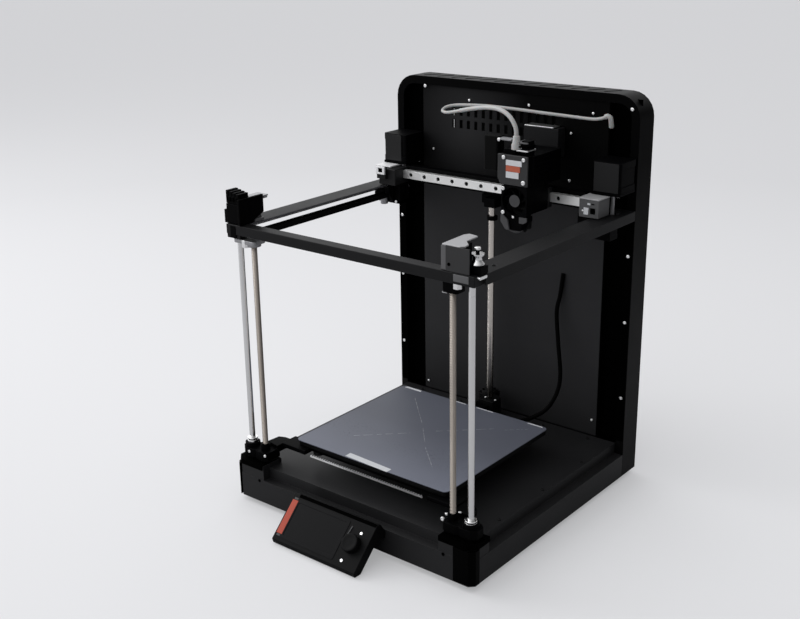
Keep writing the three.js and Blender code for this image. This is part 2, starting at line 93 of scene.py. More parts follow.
class Nodes:
    """Adds nodes to a node tree."""

    def __init__(self, tree):
        self.tree = tree

    def node(self, kind, **settings):
        made = self.tree.nodes.new(kind)
        for key, value in settings.items():
            setattr(made, key, value)
        return made

    def feed(self, socket, value):
        """Plugs a socket, a number or a colour into an input."""
        if isinstance(value, bpy.types.NodeSocket):
            self.tree.links.new(value, socket)
        else:
            socket.default_value = value

    def sum(self, operation, *values):
        made = self.node("ShaderNodeMath", operation=operation)
        for socket, value in zip(made.inputs, values):
            self.feed(socket, value)
        return made.outputs["Value"]

    def vector(self, operation, *values):
        made = self.node("ShaderNodeVectorMath", operation=operation)
        for socket, value in zip(made.inputs, values):
            self.feed(socket, value)
        return made

    def remap(self, value, low, high, out_low, out_high):
        made = self.node("ShaderNodeMapRange")
        for name, entry in (("Value", value), ("From Min", low), ("From Max", high),
                            ("To Min", out_low), ("To Max", out_high)):
            self.feed(made.inputs[name], entry)
        return made.outputs["Result"]

    def part(self, vector, axis):
        """One coordinate of a vector socket."""
        made = self.node("ShaderNodeSeparateXYZ")
        self.feed(made.inputs["Vector"], vector)
        return made.outputs[axis]

    def surface(self, output="Normal"):
        return self.node("ShaderNodeNewGeometry").outputs[output]


class Finish(Nodes):
    """A procedural material under construction, and the record's slot it belongs to."""

    def __init__(self, name, slot, colour, roughness, metallic=0.0, gloss=0.5):
        self.slot = slot
        self.material = bpy.data.materials.new(name)
        self.material.use_nodes = True
        super().__init__(self.material.node_tree)
        self.shader = self.tree.nodes["Principled BSDF"]
        self.base = colour
        self.set("Base Color", (*colour, 1))
        self.set("Roughness", roughness)
        self.set("Metallic", metallic)
        self.set("Specular IOR Level", gloss)
        self.place = self.node("ShaderNodeTexCoord").outputs["Object"]

    def set(self, name, value):
        self.feed(self.shader.inputs[name], value)

    def noise(self, scale, detail=3.0, stretch=(1, 1, 1), rough=0.55):
        mapping = self.node("ShaderNodeMapping")
        self.feed(mapping.inputs["Vector"], self.place)
        self.feed(mapping.inputs["Scale"], stretch)
        made = self.node("ShaderNodeTexNoise")
        for name, value in (("Vector", mapping.outputs["Vector"]), ("Scale", scale), ("Detail", detail),
                            ("Roughness", rough)):
            self.feed(made.inputs[name], value)
        return made.outputs["Fac"]

    def blend(self, factor, a, b):
        made = self.node("ShaderNodeMix", data_type="RGBA")
        self.feed(made.inputs["Factor"], factor)
        self.feed(made.inputs[6], a)
        self.feed(made.inputs[7], b)
        return made.outputs[2]

    def tint(self, share):
        return (*(min(1.0, c * share) for c in self.base), 1)

    def edges(self, radius):
        """Near 1 on rounded and sharp outer edges, 0 on flats."""
        rounded = self.node("ShaderNodeBevel", samples=4)
        self.feed(rounded.inputs["Radius"], radius * MM)
        dot = self.vector("DOT_PRODUCT", rounded.outputs["Normal"], self.surface())
        return self.remap(dot.outputs["Value"], 0.995, 0.85, 0.0, 1.0)

    def bumped(self, height, depth):
        bump = self.node("ShaderNodeBump")
        for name, value in (("Strength", 1.0), ("Distance", depth * MM), ("Height", height)):
            self.feed(bump.inputs[name], value)
        self.set("Normal", bump.outputs["Normal"])


def coated(name, slot, colour, roughness, metallic=0.0, gloss=0.5, grain=900, depth=0.01, mottle=0.2,
           spread=0.06, worn=None, stretch=(1, 1, 1)):
    """A surface with a fine grain, slow changes of shade and, where asked, edges worn brighter."""
    finish = Finish(name, slot, colour, roughness, metallic, gloss)
    broad = finish.noise(14, 4)
    fine = finish.noise(grain, 3, stretch)
    shade = finish.blend(broad, finish.tint(1 - mottle), finish.tint(1 + mottle))
    if worn:
        scuffs = finish.remap(finish.noise(240, 4), 0.5, 0.68, 0.0, 0.65)
        rub = finish.sum("MULTIPLY", finish.edges(0.7), scuffs)
        shade = finish.blend(rub, shade, (*worn, 1))
    finish.set("Base Color", shade)
    both = finish.sum("ADD", broad, fine)
    finish.set("Roughness", finish.remap(both, 0.6, 1.4, roughness - spread, roughness + spread))
    finish.bumped(fine, depth)
    return finish


def powder_coat():
    return coated("powder_coat", "powder_coat", (0.006, 0.006, 0.0066), 0.42, gloss=0.2, grain=1400,
                  depth=0.018, worn=(0.04, 0.04, 0.042))


def painted_shade_above(finish, low, high):
    """Where painted shade or painted light goes by height: 0 below the first height in metres, 1 above the
    second, in a wavy line.
    """
    height = finish.part(finish.place, "Z")
    waver = finish.remap(finish.noise(9, 3), 0.3, 0.7, -0.01, 0.01)
    return finish.remap(finish.sum("ADD", height, waver), low, high, 0.0, 1.0)


def shell_coat():
    """Black coat that reflects less on its side faces high up, as painted shade; faces that look upward keep
    their reflection.
    """
    finish = coated("shell_coat", "powder_coat", (0.0006, 0.0006, 0.0007), 0.5, gloss=0.1, grain=1400,
                    depth=0.018, worn=(0.03, 0.03, 0.032))
    sides = finish.remap(finish.part(finish.surface(), "Z"), 0.3, 0.7, 1.0, 0.0)
    painted_dimming = finish.sum("MULTIPLY", painted_shade_above(finish, 0.2, 0.46), sides)
    finish.set("Specular IOR Level", finish.remap(painted_dimming, 0.0, 1.0, 0.1, 0.025))
    return finish


def beam_coat():
    return coated("beam_coat", "powder_coat", (0.0058, 0.0058, 0.0064), 0.5, gloss=0.13, grain=1400,
                  depth=0.018, worn=(0.03, 0.03, 0.032))


def edge_coat():
    """Coat of the left beam, with painted light: the inward-facing edge of its flange is painted much paler.
    """
    finish = coated("edge_coat", "powder_coat", (0.0058, 0.0058, 0.0064), 0.5, gloss=0.13, grain=1400,
                    depth=0.018)
    inward = finish.remap(finish.part(finish.surface(), "X"), 0.5, 0.9, 0.0, 1.0)
    painted_light = finish.sum("MULTIPLY", inward, painted_shade_above(finish, 0.38, 0.39))
    finish.set("Base Color", finish.blend(painted_light, finish.tint(1), finish.tint(14)))
    return finish


def base_coat():
    return coated("base_coat", "powder_coat", (0.0105, 0.0105, 0.0112), 0.46, gloss=0.18, grain=1400,
                  depth=0.018, worn=(0.04, 0.04, 0.042))


def grey_panel():
    """Painted shade above the gantry, lifted round the vents, and painted shade low down behind the bed."""
    finish = Finish("grey_panel", "grey_panel", (0.0215, 0.0215, 0.0228), 0.55, gloss=0.1)
    painted_shade = painted_shade_above(finish, 0.395, 0.41)
    vents = Vector((-75, 165, 485))
    away = finish.vector("DISTANCE", finish.place, (vents + CENTRE) * MM).outputs["Value"]
    painted_shade = finish.sum("MULTIPLY", painted_shade, finish.remap(away, 0.015, 0.11, 0.25, 1.0))
    shade = finish.blend(finish.noise(14, 4), finish.tint(0.85), finish.tint(1.15))
    # darker towards the bottom, behind the bed: painted shade
    unshaded = finish.remap(finish.part(finish.place, "Z"), 0.05, 0.17, 0.0, 1.0)
    shade = finish.blend(unshaded, finish.tint(0.55), shade)
    finish.set("Base Color", finish.blend(painted_shade, shade, finish.tint(0.03)))
    finish.set("Specular IOR Level", finish.remap(painted_shade, 0.0, 1.0, 0.1, 0.035))
    grain = finish.noise(1200, 3)
    finish.set("Roughness", finish.remap(grain, 0.3, 0.7, 0.5, 0.62))
    finish.bumped(grain, 0.02)
    return finish


def recess_black():
    return coated("recess_black", "powder_coat", (0.0003, 0.0003, 0.0003), 0.6, gloss=0.005, depth=0.01)


def black_plastic():
    return coated("black_plastic", "black_plastic", (0.006, 0.006, 0.0064), 0.46, gloss=0.2,
                  grain=700, depth=0.014, worn=(0.03, 0.03, 0.03))


def display_shell():
    return coated("display_shell", "black_plastic", (0.0022, 0.0022, 0.0024), 0.5, gloss=0.07,
                  grain=700, depth=0.014, worn=(0.02, 0.02, 0.02))


def deep_plastic():
    return coated("deep_plastic", "black_plastic", (0.0008, 0.0008, 0.001), 0.5, gloss=0.025,
                  grain=700, depth=0.014, worn=(0.02, 0.02, 0.02))


def cover_plastic():
    return coated("cover_plastic", "black_plastic", (0.026, 0.026, 0.027), 0.5, gloss=0.25,
                  grain=800, depth=0.012)


def gloss_black():
    return coated("gloss_black", "black_plastic", (0.0003, 0.0003, 0.0003), 0.2, gloss=0.02, depth=0.003)


def polished_steel():
    return coated("polished_steel", "polished_steel", (0.82, 0.82, 0.82), 0.17, 1.0, grain=500,
                  depth=0.0015, mottle=0.05, spread=0.04, stretch=(1, 1, 0.04))


def rail_steel():
    return coated("rail_steel", "polished_steel", (0.9, 0.9, 0.89), 0.42, 1.0, grain=600,
                  depth=0.002, mottle=0.04, stretch=(0.03, 1, 1))


def shaded_foot_steel():
    """Steel painted dark towards its foot: painted shade."""
    finish = coated("shaded_foot_steel", "polished_steel", (0.62, 0.58, 0.54), 0.25, 1.0, grain=500, depth=0.0015,
                    mottle=0.05, stretch=(1, 1, 0.04))
    unshaded = finish.remap(finish.part(finish.place, "Z"), 0.085, 0.2, 0.0, 1.0)
    finish.set("Base Color", finish.blend(unshaded, finish.tint(0.03), finish.tint(1)))
    return finish


def screw_steel():
    return coated("screw_steel", "screw_steel", (0.4, 0.36, 0.32), 0.33, 1.0, grain=500,
                  depth=0.004, mottle=0.18)


def bright_zinc():
    return coated("bright_zinc", "polished_steel", (0.92, 0.92, 0.92), 0.3, 1.0, grain=900,
                  depth=0.002, mottle=0.06)


def grey_metal():
    return coated("grey_metal", "grey_metal", (0.052, 0.052, 0.054), 0.46, 0.25, gloss=0.2, grain=900,
                  depth=0.012, worn=(0.2, 0.2, 0.2))


def mid_metal():
    return coated("mid_metal", "grey_metal", (0.11, 0.11, 0.113), 0.5, 0.2, gloss=0.2, grain=900,
                  depth=0.012)


def bright_metal():
    return coated("bright_metal", "aluminium", (0.78, 0.78, 0.79), 0.55, 0.35, grain=700, depth=0.006,
                  mottle=0.08)


def carriage_grey():
    return coated("carriage_grey", "grey_metal", (0.085, 0.085, 0.087), 0.5, 0.2, gloss=0.2, grain=900,
                  depth=0.012)


def plate_metal():
    return coated("plate_metal", "aluminium", (0.33, 0.33, 0.335), 0.5, 0.2, gloss=0.3, grain=700,
                  depth=0.006)


def satin_metal():
    return coated("satin_metal", "aluminium", (0.4, 0.4, 0.41), 0.5, 0.6, grain=700, depth=0.006,
                  mottle=0.08)


def aluminium():
    return coated("aluminium", "aluminium", (0.3, 0.3, 0.31), 0.5, 0.8, grain=700,
                  depth=0.006, mottle=0.08, stretch=(0.08, 1, 1))


def brass():
    return coated("brass", "brass", (0.62, 0.42, 0.17), 0.3, 1.0, depth=0.004, mottle=0.1)


def pale_plastic():
    finish = coated("pale_plastic", "pale_plastic", (0.36, 0.36, 0.355), 0.42, depth=0.006, mottle=0.08)
    finish.set("Subsurface Weight", 0.15)
    finish.set("Subsurface Scale", 0.002)
    return finish


def duct_grey():
    return coated("duct_grey", "pale_plastic", (0.05, 0.05, 0.052), 0.45, gloss=0.3, depth=0.008)


def rubber():
    return coated("rubber", "rubber", (0.004, 0.004, 0.004), 0.75, gloss=0.1, grain=500, depth=0.03)


def cable_jacket():
    return coated("cable_jacket", "rubber", (0.0004, 0.0004, 0.0004), 0.5, gloss=0.02, grain=900, depth=0.01)


def belt_rubber():
    return coated("belt_rubber", "rubber", (0.0012, 0.0012, 0.0012), 0.62, gloss=0.06, grain=1500, depth=0.02)


def circuit_board():
    return coated("circuit_board", "circuit_board", (0.012, 0.06, 0.03), 0.4, grain=400, depth=0.01)


def accent_orange():
    return coated("accent_orange", "black_plastic", (0.36, 0.055, 0.03), 0.45, gloss=0.2, depth=0.006,
                  mottle=0.08)


def label_white():
    return coated("label_white", "pale_plastic", (0.55, 0.56, 0.58), 0.55, depth=0.003, mottle=0.04)


def label_orange():
    return coated("label_orange", "pale_plastic", (0.4, 0.085, 0.04), 0.5, depth=0.003, mottle=0.06)


def screen_glass():
    return coated("screen_glass", "screen", (0.004, 0.004, 0.0045), 0.4, gloss=0.06, depth=0.001, mottle=0.05)


def print_surface():
    """Textured coating: a fine pebble, with painted light that makes it paler to the front, and a band of
    dark specks across it.
    """
    finish = Finish("print_surface", "print_surface", (0.1, 0.107, 0.134), 0.5, gloss=0.3)
    along = finish.part(finish.place, "Y")
    pebble = finish.noise(1300, 2)
    shade = finish.blend(finish.noise(7, 4), finish.tint(0.86), finish.tint(1.14))
    front_light = finish.vector("SCALE", shade)
    finish.feed(front_light.inputs["Scale"], finish.remap(along, -0.15, 0.0, 1.5, 0.86))
    cells = finish.node("ShaderNodeTexVoronoi", feature="F1")
    finish.feed(cells.inputs["Vector"], finish.place)
    finish.feed(cells.inputs["Scale"], 260)
    specks = finish.remap(cells.outputs["Distance"], 0.2, 0.32, 1.0, 0.0)
    patchy = finish.remap(finish.noise(11, 3), 0.4, 0.55, 0.0, 0.7)
    from_band = finish.sum("ABSOLUTE", finish.sum("SUBTRACT", along, (CENTRE.y - 90) * MM))
    band = finish.remap(from_band, 0.008, 0.03, 1.0, 0.0)
    specks = finish.sum("MULTIPLY", specks, finish.sum("MULTIPLY", patchy, band))
    finish.set("Base Color", finish.blend(specks, front_light.outputs["Vector"], finish.tint(0.32)))
    finish.set("Roughness", finish.remap(pebble, 0.3, 0.7, 0.42, 0.6))
    finish.bumped(pebble, 0.03)
    return finish


FINISH = {maker.__name__: maker() for maker in (
    powder_coat, shell_coat, beam_coat, edge_coat, base_coat, grey_panel, recess_black, black_plastic,
    display_shell, deep_plastic, cover_plastic, gloss_black, polished_steel, rail_steel, shaded_foot_steel,
    screw_steel, bright_zinc, grey_metal, mid_metal, bright_metal, carriage_grey, plate_metal, satin_metal,
    aluminium, brass, pale_plastic, duct_grey, rubber, cable_jacket, belt_rubber, circuit_board,
    accent_orange, label_white, label_orange, screen_glass, print_surface)}


# ------------------------------------------------------------------ mesh code

def ring(radius, count=32):
    step = 2 * math.pi / count
    return [(radius * math.cos(i * step), radius * math.sin(i * step)) for i in range(count)]


def hole(centre, radius, count=28):
    return [(centre[0] + u, centre[1] + v) for u, v in ring(radius, count)]


def wheel(count, reach):
    """A round outline whose radius is a function of the angle."""
    angles = [2 * math.pi * i / count for i in range(count)]
    return [(reach(a) * math.cos(a), reach(a) * math.sin(a)) for a in angles]


def toothed(radius, depth, teeth, count):
    """A round outline with shallow grooves between its teeth."""
    return wheel(count, lambda angle: radius - depth * (0.5 + 0.5 * math.cos(teeth * angle)))


def rectangle(u0, u1, v0, v1, radius=0.0, steps=4):
    """Outline of a rectangle in two coordinates, its corners rounded by radius."""
    if not radius:
        return [(u0, v0), (u1, v0), (u1, v1), (u0, v1)]
    outline = []
    for u, v, start in ((u1 - radius, v0 + radius, -90), (u1 - radius, v1 - radius, 0),
                        (u0 + radius, v1 - radius, 90), (u0 + radius, v0 + radius, 180)):
        for i in range(steps + 1):
            angle = math.radians(start + 90 * i / steps)
            outline.append((u + radius * math.cos(angle), v + radius * math.sin(angle)))
    return outline


def lift(point, axis, level):
    """A point of a flat outline, placed at a level along the axis."""
    u, v = point
    return {"x": (level, u, v), "y": (u, level, v), "z": (u, v, level)}[axis]


def facing(point, normal):
    """Placement whose origin is the point and whose Z axis is the normal."""
    turn = Vector((0, 0, 1)).rotation_difference(Vector(normal))
    return Matrix.Translation(Vector(point)) @ turn.to_matrix().to_4x4()


class Shape:
    """Closed solids gathered into one mesh."""

    def __init__(self, at=Matrix.Identity(4)):
        self.bm = bmesh.new()
        self.at = at

    def vertex(self, point):
        return self.bm.verts.new(self.at @ Vector(point))

    def soften(self, faces, width, steps):
        bmesh.ops.recalc_face_normals(self.bm, faces=faces)
        if not width:
            return
        edges = {e for f in faces for e in f.edges if e.is_manifold and e.calc_face_angle(0) > SHARP}
        bmesh.ops.bevel(self.bm, geom=list(edges), offset=width, segments=steps, profile=0.5,
                        affect="EDGES", clamp_overlap=True)

    def skin(self, rings, soft=0.0, steps=2, closed=False):
        """Joins equal rings of points into one closed surface."""
        rows = [[self.vertex(p) for p in points] for points in rings]
        pairs = list(zip(rows, rows[1:]))
        if closed:
            pairs.append((rows[-1], rows[0]))
        faces = []
        for low, high in pairs:
            for i in range(len(low)):
                j = (i + 1) % len(low)
                faces.append(self.bm.faces.new((low[i], low[j], high[j], high[i])))
        if not closed:
            faces.append(self.bm.faces.new(rows[0][::-1]))
            faces.append(self.bm.faces.new(rows[-1]))
        self.soften(faces, soft, steps)
        return self

    def prism(self, outline, axis, start, end, soft=0.4, steps=2):
        return self.skin([[lift(p, axis, level) for p in outline] for level in (start, end)], soft, steps)

    def block(self, x0, x1, y0, y1, z0, z1, soft=0.4, steps=2):
        return self.prism(rectangle(x0, x1, y0, y1), "z", z0, z1, soft, steps)

    def turned(self, profile, centre=(0, 0), axis="z", count=32, soft=0.0, closed=False):
        """A lathe shape from (radius, level) points; centre holds the two other coordinates."""
        rings = [[lift((centre[0] + u, centre[1] + v), axis, level) for u, v in ring(radius, count)]
                 for radius, level in profile]
        return self.skin(rings, soft, 2, closed)

    def plate(self, outline, holes, axis, start, end, soft=0.0):
        """A flat plate with holes, each outline a list of two-coordinate points."""
        loops = [outline] + holes
        faces = []
        rows = []
        for level in (start, end):
            points = [[Vector(lift(p, axis, level)) for p in loop] for loop in loops]
            flat = [self.vertex(p) for loop in points for p in loop]
            rows.append((flat, tessellate_polygon(points)))
        for flat, triangles in rows:
            for triangle in triangles:
                faces.append(self.bm.faces.new([flat[i] for i in triangle]))
        low, high = rows[0][0], rows[1][0]
        first = 0
        for loop in loops:
            for i in range(len(loop)):
                a, b = first + i, first + (i + 1) % len(loop)
                faces.append(self.bm.faces.new((low[a], low[b], high[b], high[a])))
            first += len(loop)
        self.soften(faces, soft, 2)
        return self

    def sweep(self, path, radius, count=12):
        """A round bar along a path of points."""
        points = [Vector(p) for p in path]
        side = None
        rings = []
        for i, point in enumerate(points):
            along = (points[min(i + 1, len(points) - 1)] - points[max(i - 1, 0)]).normalized()
            if side is None:
                side = along.orthogonal().normalized()
            side = (side - along * side.dot(along)).normalized()
            other = along.cross(side)
            rings.append([point + side * u * radius + other * v * radius for u, v in ring(1, count)])
        return self.skin(rings)

    def screw(self, point, normal, radius, height):
        """A cap screw with a hexagonal socket, standing on the point."""
        kept = self.at
        self.at = kept @ facing(point, normal)
        count, edge = 24, radius * 0.12
        hexagon = wheel(count, lambda a: radius * 0.48 / math.cos((a % (math.pi / 3)) - math.pi / 6))
        rim = ring(radius, count)
        self.skin([[(*p, level) for p in outline] for outline, level in (
            (rim, 0), (rim, height - edge), (ring(radius - edge, count), height), (hexagon, height),
            (hexagon, height * 0.45))])
        self.at = kept
        return self

    def free(self, name, finish):
        """Turns the solids into a piece that has no body yet."""
        self.bm.transform(Matrix.Diagonal((MM, MM, MM, 1)) @ Matrix.Translation(CENTRE))
        bmesh.ops.recalc_face_normals(self.bm, faces=self.bm.faces)
        data = bpy.data.meshes.new(name)
        self.bm.to_mesh(data)
        self.bm.free()
        data.materials.append(FINISH[finish].material)
        data.shade_smooth()
        data.set_sharp_from_angle(angle=math.radians(50))
        piece = bpy.data.objects.new(name, data)
        bpy.context.scene.collection.objects.link(piece)
        piece.modifiers.new("normals", "WEIGHTED_NORMAL").keep_sharp = True
        return piece

    def done(self, name, finish, body, replaces=()):
        """Turns the solids into a piece that rides on a body, in the place of CAD nodes if any are given."""
        piece = self.free(name, finish)
        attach(piece, body)
        if replaces:
            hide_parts(*replaces)


def screws(name, finish, body, spots, normal, radius, height):
    """A piece made of cap screws of one size."""
    heads = Shape()
    for spot in spots:
        heads.screw(spot, normal, radius, height)
    heads.done(name, finish, body)


FORWARD, BACKWARD, UP, DOWN = (0, -1, 0), (0, 1, 0), (0, 0, 1), (0, 0, -1)


def dress(node, finish, soft=0.6, steps=2):
    """Keeps a CAD node's shape, rounds its edges and gives it a finish."""
    part = frame["nodes"][node]
    for place in part.material_slots:
        place.material = FINISH[finish].material
    part.data.shade_smooth()
    part.modifiers.new("weld", "WELD").merge_threshold = 0.00002
    planar = part.modifiers.new("planar", "DECIMATE")
    planar.decimate_type = "DISSOLVE"
    planar.angle_limit = math.radians(0.5)
    if soft:
        bevel = part.modifiers.new("edges", "BEVEL")
        bevel.width = soft * MM
        bevel.segments = steps
        bevel.limit_method = "ANGLE"
        bevel.angle_limit = SHARP
    part.modifiers.new("normals", "WEIGHTED_NORMAL")


SIDES = (("left", -1), ("right", 1))


def span(side, inner, outer):
    """X limits of something that lies inner..outer from the middle, on one side."""
    return (inner, outer) if side > 0 else (-outer, -inner)


# ------------------------------------------------------------------ base and display

def build_base():
    dress("base_shell", "base_coat", 1.0)
    dress("bottom_plate", "powder_coat", 0.5)
    for end in ("front", "rear"):
        for side, _ in SIDES:
            dress(f"foot_{end}_{side}", "rubber", 0.8)
    build_corner_guards()
    build_corner_shadow_sheets()
    build_base_fasteners()


def build_corner_guards():
    """Gloss guards wrapped round the front corners: the right one shows on the front face."""
    low, high = box("base_shell")
    cut, thick, top = 6, 1.0, 56
    front, wall = low.y, high.x
    for side, sign in SIDES:
        across = 28.5 if sign > 0 else 6.5
        outline = [(wall - across, front - thick), (wall - cut + 0.4, front - thick),
                   (wall + thick, front + cut - 0.4), (wall + thick, front + 14),
                   (wall - 2, front + 14), (wall - 2, front + cut + 2), (wall - cut - 2, front + 2),
                   (wall - across, front + 2)]
        outline = [(sign * x, y) for x, y in outline]
        guard = Shape().prism(outline, "z", low.z + 0.6, top, 0.5)
        guard.done(f"corner_guard_{side}", "gloss_black", "frame")


def build_corner_shadow_sheets():
    """Near-black sheets over the raised corner blocks, with a lip down the front and the side: painted shadow
    round the rods' feet.
    """
    low, _ = box("base_shell")
    for side, sign in SIDES:
        outline = [(151, low.y - 0.6), (192, low.y - 0.6), (202, low.y + 9), (202, -170), (151, -170)]
        holes = [hole(middle(f"{kind}_{side}"), 9) for kind in ("lead_screw", "smooth_rod")]
        shadow_sheet = Shape().plate([(sign * x, y) for x, y in outline], holes, "z", DECK + 6.1, DECK + 7.2, 0.4)
        lip = [(151, low.y - 1.2), (192.2, low.y - 1.2), (202.8, low.y + 9.4), (202.8, -170), (201.8, -170),
               (201.8, low.y + 9.8), (191.8, low.y - 0.2), (151, low.y - 0.2)]
        shadow_sheet.prism([(sign * x, y) for x, y in lip], "z", DECK, DECK + 7.1, 0.3)
        shadow_sheet.done(f"corner_shadow_sheet_{side}", "recess_black", "frame")


def build_base_fasteners():
    low, high = box("base_shell")
    deck = [(x, high.y - 12, DECK) for x in (-150, -75, 75, 150)]
    deck += [(sign * 182, y, DECK) for _, sign in SIDES for y in (-120, -20, 80)]
    screws("deck_screws", "black_plastic", "frame", deck, UP, 2.6, 1.6)
    plugs = [(sign * 158, low.y, 40) for _, sign in SIDES]
    screws("front_plugs", "recess_black", "frame", plugs, FORWARD, 2.2, 0.7)
    under = [(x, y, low.z) for x in (-140, 0, 140) for y in (low.y + 30, 0, high.y - 30)]
    screws("bottom_screws", "bright_zinc", "frame", under, DOWN, 2.6, 1.5)


class DisplayFace:
    """Places things on the display's tilted face: across, up the slope and out from it."""

    def __init__(self):
        knob = next(j for j in frame["joints"] if j["name"] == "knob_turn")
        self.normal = Vector(knob["axis"]).normalized()
        self.slope = Vector((1, 0, 0)).cross(self.normal) * -1
        self.middle = Vector(knob["pos_m"]) / MM - CENTRE
        self.knob_x = self.middle.x
        self.middle.x = 0

    def matrix(self):
        columns = Matrix((Vector((1, 0, 0)), self.slope, self.normal)).transposed()
        return Matrix.Translation(self.middle) @ columns.to_4x4()


def build_display():
    face = DisplayFace()
    at = face.matrix()
    dress("display_housing", "display_shell", 1.6, 3)
    dress("display_screen", "screen_glass", 0.3)
    low, high = box("display_housing")
    accent = Shape(at).block(low.x + 2.2, low.x + 12, -23, 25, -1.5, 0.7, 0.5)
    accent.done("display_accent", "accent_orange", "frame")
    ends = Shape(at)
    for v in (-26.4, 25.4):
        ends.block(low.x + 4, low.x + 10.5, v, v + 3, -1.5, 0.5, 0.4)
    ends.done("display_accent_ends", "grey_metal", "frame")
    screen_low, screen_high = box("display_screen")
    inner = rectangle(screen_low.x + 1.5, screen_high.x - 1.5, -23, 23, 2)
    outer = rectangle(screen_low.x - 3, screen_high.x + 3, -27.5, 27.5, 3)
    Shape(at).plate(outer, [inner], "z", -0.2, 0.5, 0.2).done("display_bezel", "screen_glass", "frame")
    ridge = Shape(at).prism([(30.6, 3), (32.4, 6), (34.6, 21), (33, 21)], "z", -0.2, 1.1, 0.4)
    ridge.done("display_ridge", "grey_metal", "frame")
    # a near-black band along the top of the display's face: painted shadow of the gap between the display and
    # the base
    shadow_line = Shape(at).block(low.x + 10, high.x - 1, 29.8, 34.5, -2, 0.4, 0.3)
    shadow_line.done("display_shadow_line", "recess_black", "frame")
    heads = Shape(at)
    for x, v in ((50.6, 16.5), (41.3, -23.5)):
        heads.screw((x, v, -0.1), UP, 2.2, 1.0)
    heads.done("display_screws", "bright_zinc", "frame")
    build_knob(at @ Matrix.Translation((face.knob_x, 0, 0)))


def build_knob(at):
    """A ribbed dial with a dished top."""
    profile = ((11.6, 0.7, 0), (12.4, 1.6, 0), (12.4, 2.4, 0.45), (12.2, 7.2, 0.45), (11.8, 8.4, 0.2),
               (10.8, 9.0, 0), (8.5, 8.7, 0), (4, 8.1, 0))
    rings = [[(*p, level) for p in toothed(radius, groove, 24, 96)] for radius, level, groove in profile]
    Shape(at).skin(rings).done("display_dial", "display_shell", "knob", ("display_knob",))
    Shape(at).turned([(3.4, -7), (3.4, 0.8)], count=24).done("display_dial_shaft", "aluminium", "knob")


# ------------------------------------------------------------------ electronics box

def build_rear_box():
    for node, finish, soft in (
            ("rear_shell", "shell_coat", 0.9), ("rear_cover", "shell_coat", 0.5),
            ("inner_panel", "grey_panel", 0.5),
            ("exhaust_duct", "beam_coat", 0.8), ("power_supply", "aluminium", 0.8),
            ("control_board", "circuit_board", 0), ("power_inlet", "black_plastic", 0.6),
            ("power_switch", "black_plastic", 0.5)):
        dress(node, finish, soft)
    lip = box("rear_shell")[0].y
    panel = box("inner_panel")[0].y
    spots = [(sign * 194.5, lip, z) for _, sign in SIDES for z in (128, 240.5, 335)]
    spots += [(x, lip, z) for x, z in ((-148, 536), (190, 532))]
    screws("rear_lip_screws", "bright_zinc", "frame", spots, FORWARD, 2.4, 1.6)
    # near-black sheets in the side recesses and on the lips of the rear shell: painted shade
    shade_sheets = Shape()
    for _, sign in SIDES:
        shade_sheets.block(*span(sign, 155.6, 196.5), panel + 11, panel + 12.6, 58.5, 543, 0.2)
        shade_sheets.block(*span(sign, 155.3, 156.3), panel + 0.5, panel + 10.8, 58.5, 545, 0.2)
    for _, sign in SIDES:
        shade_sheets.block(*span(sign, 188, 200.6), lip - 0.4, lip + 0.4, 62, 396, 0.2)
    shade_sheets.done("recess_shade_sheets", "recess_black", "frame")
    low, high = box("exhaust_duct")
    # a bright strip along the top of the duct: painted highlight
    rim = Shape().block(low.x + 1, high.x - 8, low.y, high.y - 1, high.z + 0.3, high.z + 1.7, 0.3)
    rim.done("exhaust_top_highlight", "bright_zinc", "frame")
    spots = [(x, panel, z) for x, z in ((-148, 69), (-38, 66), (-18, 66), (-71, 521), (30, 523), (131, 521),
                                        (-136, 444), (98, 491), (98, 426), (148, 81))]
    screws("panel_screws", "bright_zinc", "frame", spots, FORWARD, 1.9, 1.3)
    Shape().block(-110, 110, 181, 183, 470, 520, 0.3).done("vent_filter", "rubber", "frame")
    build_back_fittings()


def build_back_fittings():
    back = box("rear_cover")[1].y
    spots = [(sign * 192, back, z) for _, sign in SIDES for z in (30, 150, 270, 390, 510)]
    for x in (-90, 0, 90):
        spots += [(x, back, 540), (x + 15, back, 18)]
    screws("rear_cover_screws", "bright_zinc", "frame", spots, BACKWARD, 2.6, 1.5)
    x, _ = middle("power_inlet")
    y = box("power_inlet")[1].y
    pins = Shape()
    for u, z in ((-7, 36), (0, 40.5), (7, 36)):
        pins.block(x + u - 0.8, x + u + 0.8, y - 14, y - 3, z - 2, z + 2, 0.3)
    pins.done("inlet_pins", "brass", "frame")


# ------------------------------------------------------------------ upper frame

def build_upper_frame():
    low, high = box("front_bar")
    bar_low = high.z - 13.2
    back = low.y + 16.8
    bar = Shape().block(low.x, high.x, low.y, back, bar_low, high.z, 0.9)
    bar.block(low.x, low.x + 24, low.y + 1, back, bar_low - 5.5, bar_low + 1, 0.9)
    bar.done("front_bar_body", "beam_coat", "frame", ("front_bar",))
    for side, sign in SIDES:
        dress(f"side_beam_{side}", "edge_coat" if sign < 0 else "beam_coat", 0.5)
        dress(f"y_rail_{side}", "rail_steel", 0.5)
        build_bar_corner(side, sign, low.y, high.z, bar_low)
    dress("rod_holder_rear", "deep_plastic", 0.8)
    # a near-black band round the rear rod: painted shadow
    shadow_band = [(4.1, 365), (7.6, 365), (7.6, 370.8), (4.1, 370.8)]
    holder = Shape().turned(shadow_band, middle("smooth_rod_rear"), closed=True)
    holder.done("rod_shadow_band_rear", "deep_plastic", "frame")
    build_beam_fasteners()


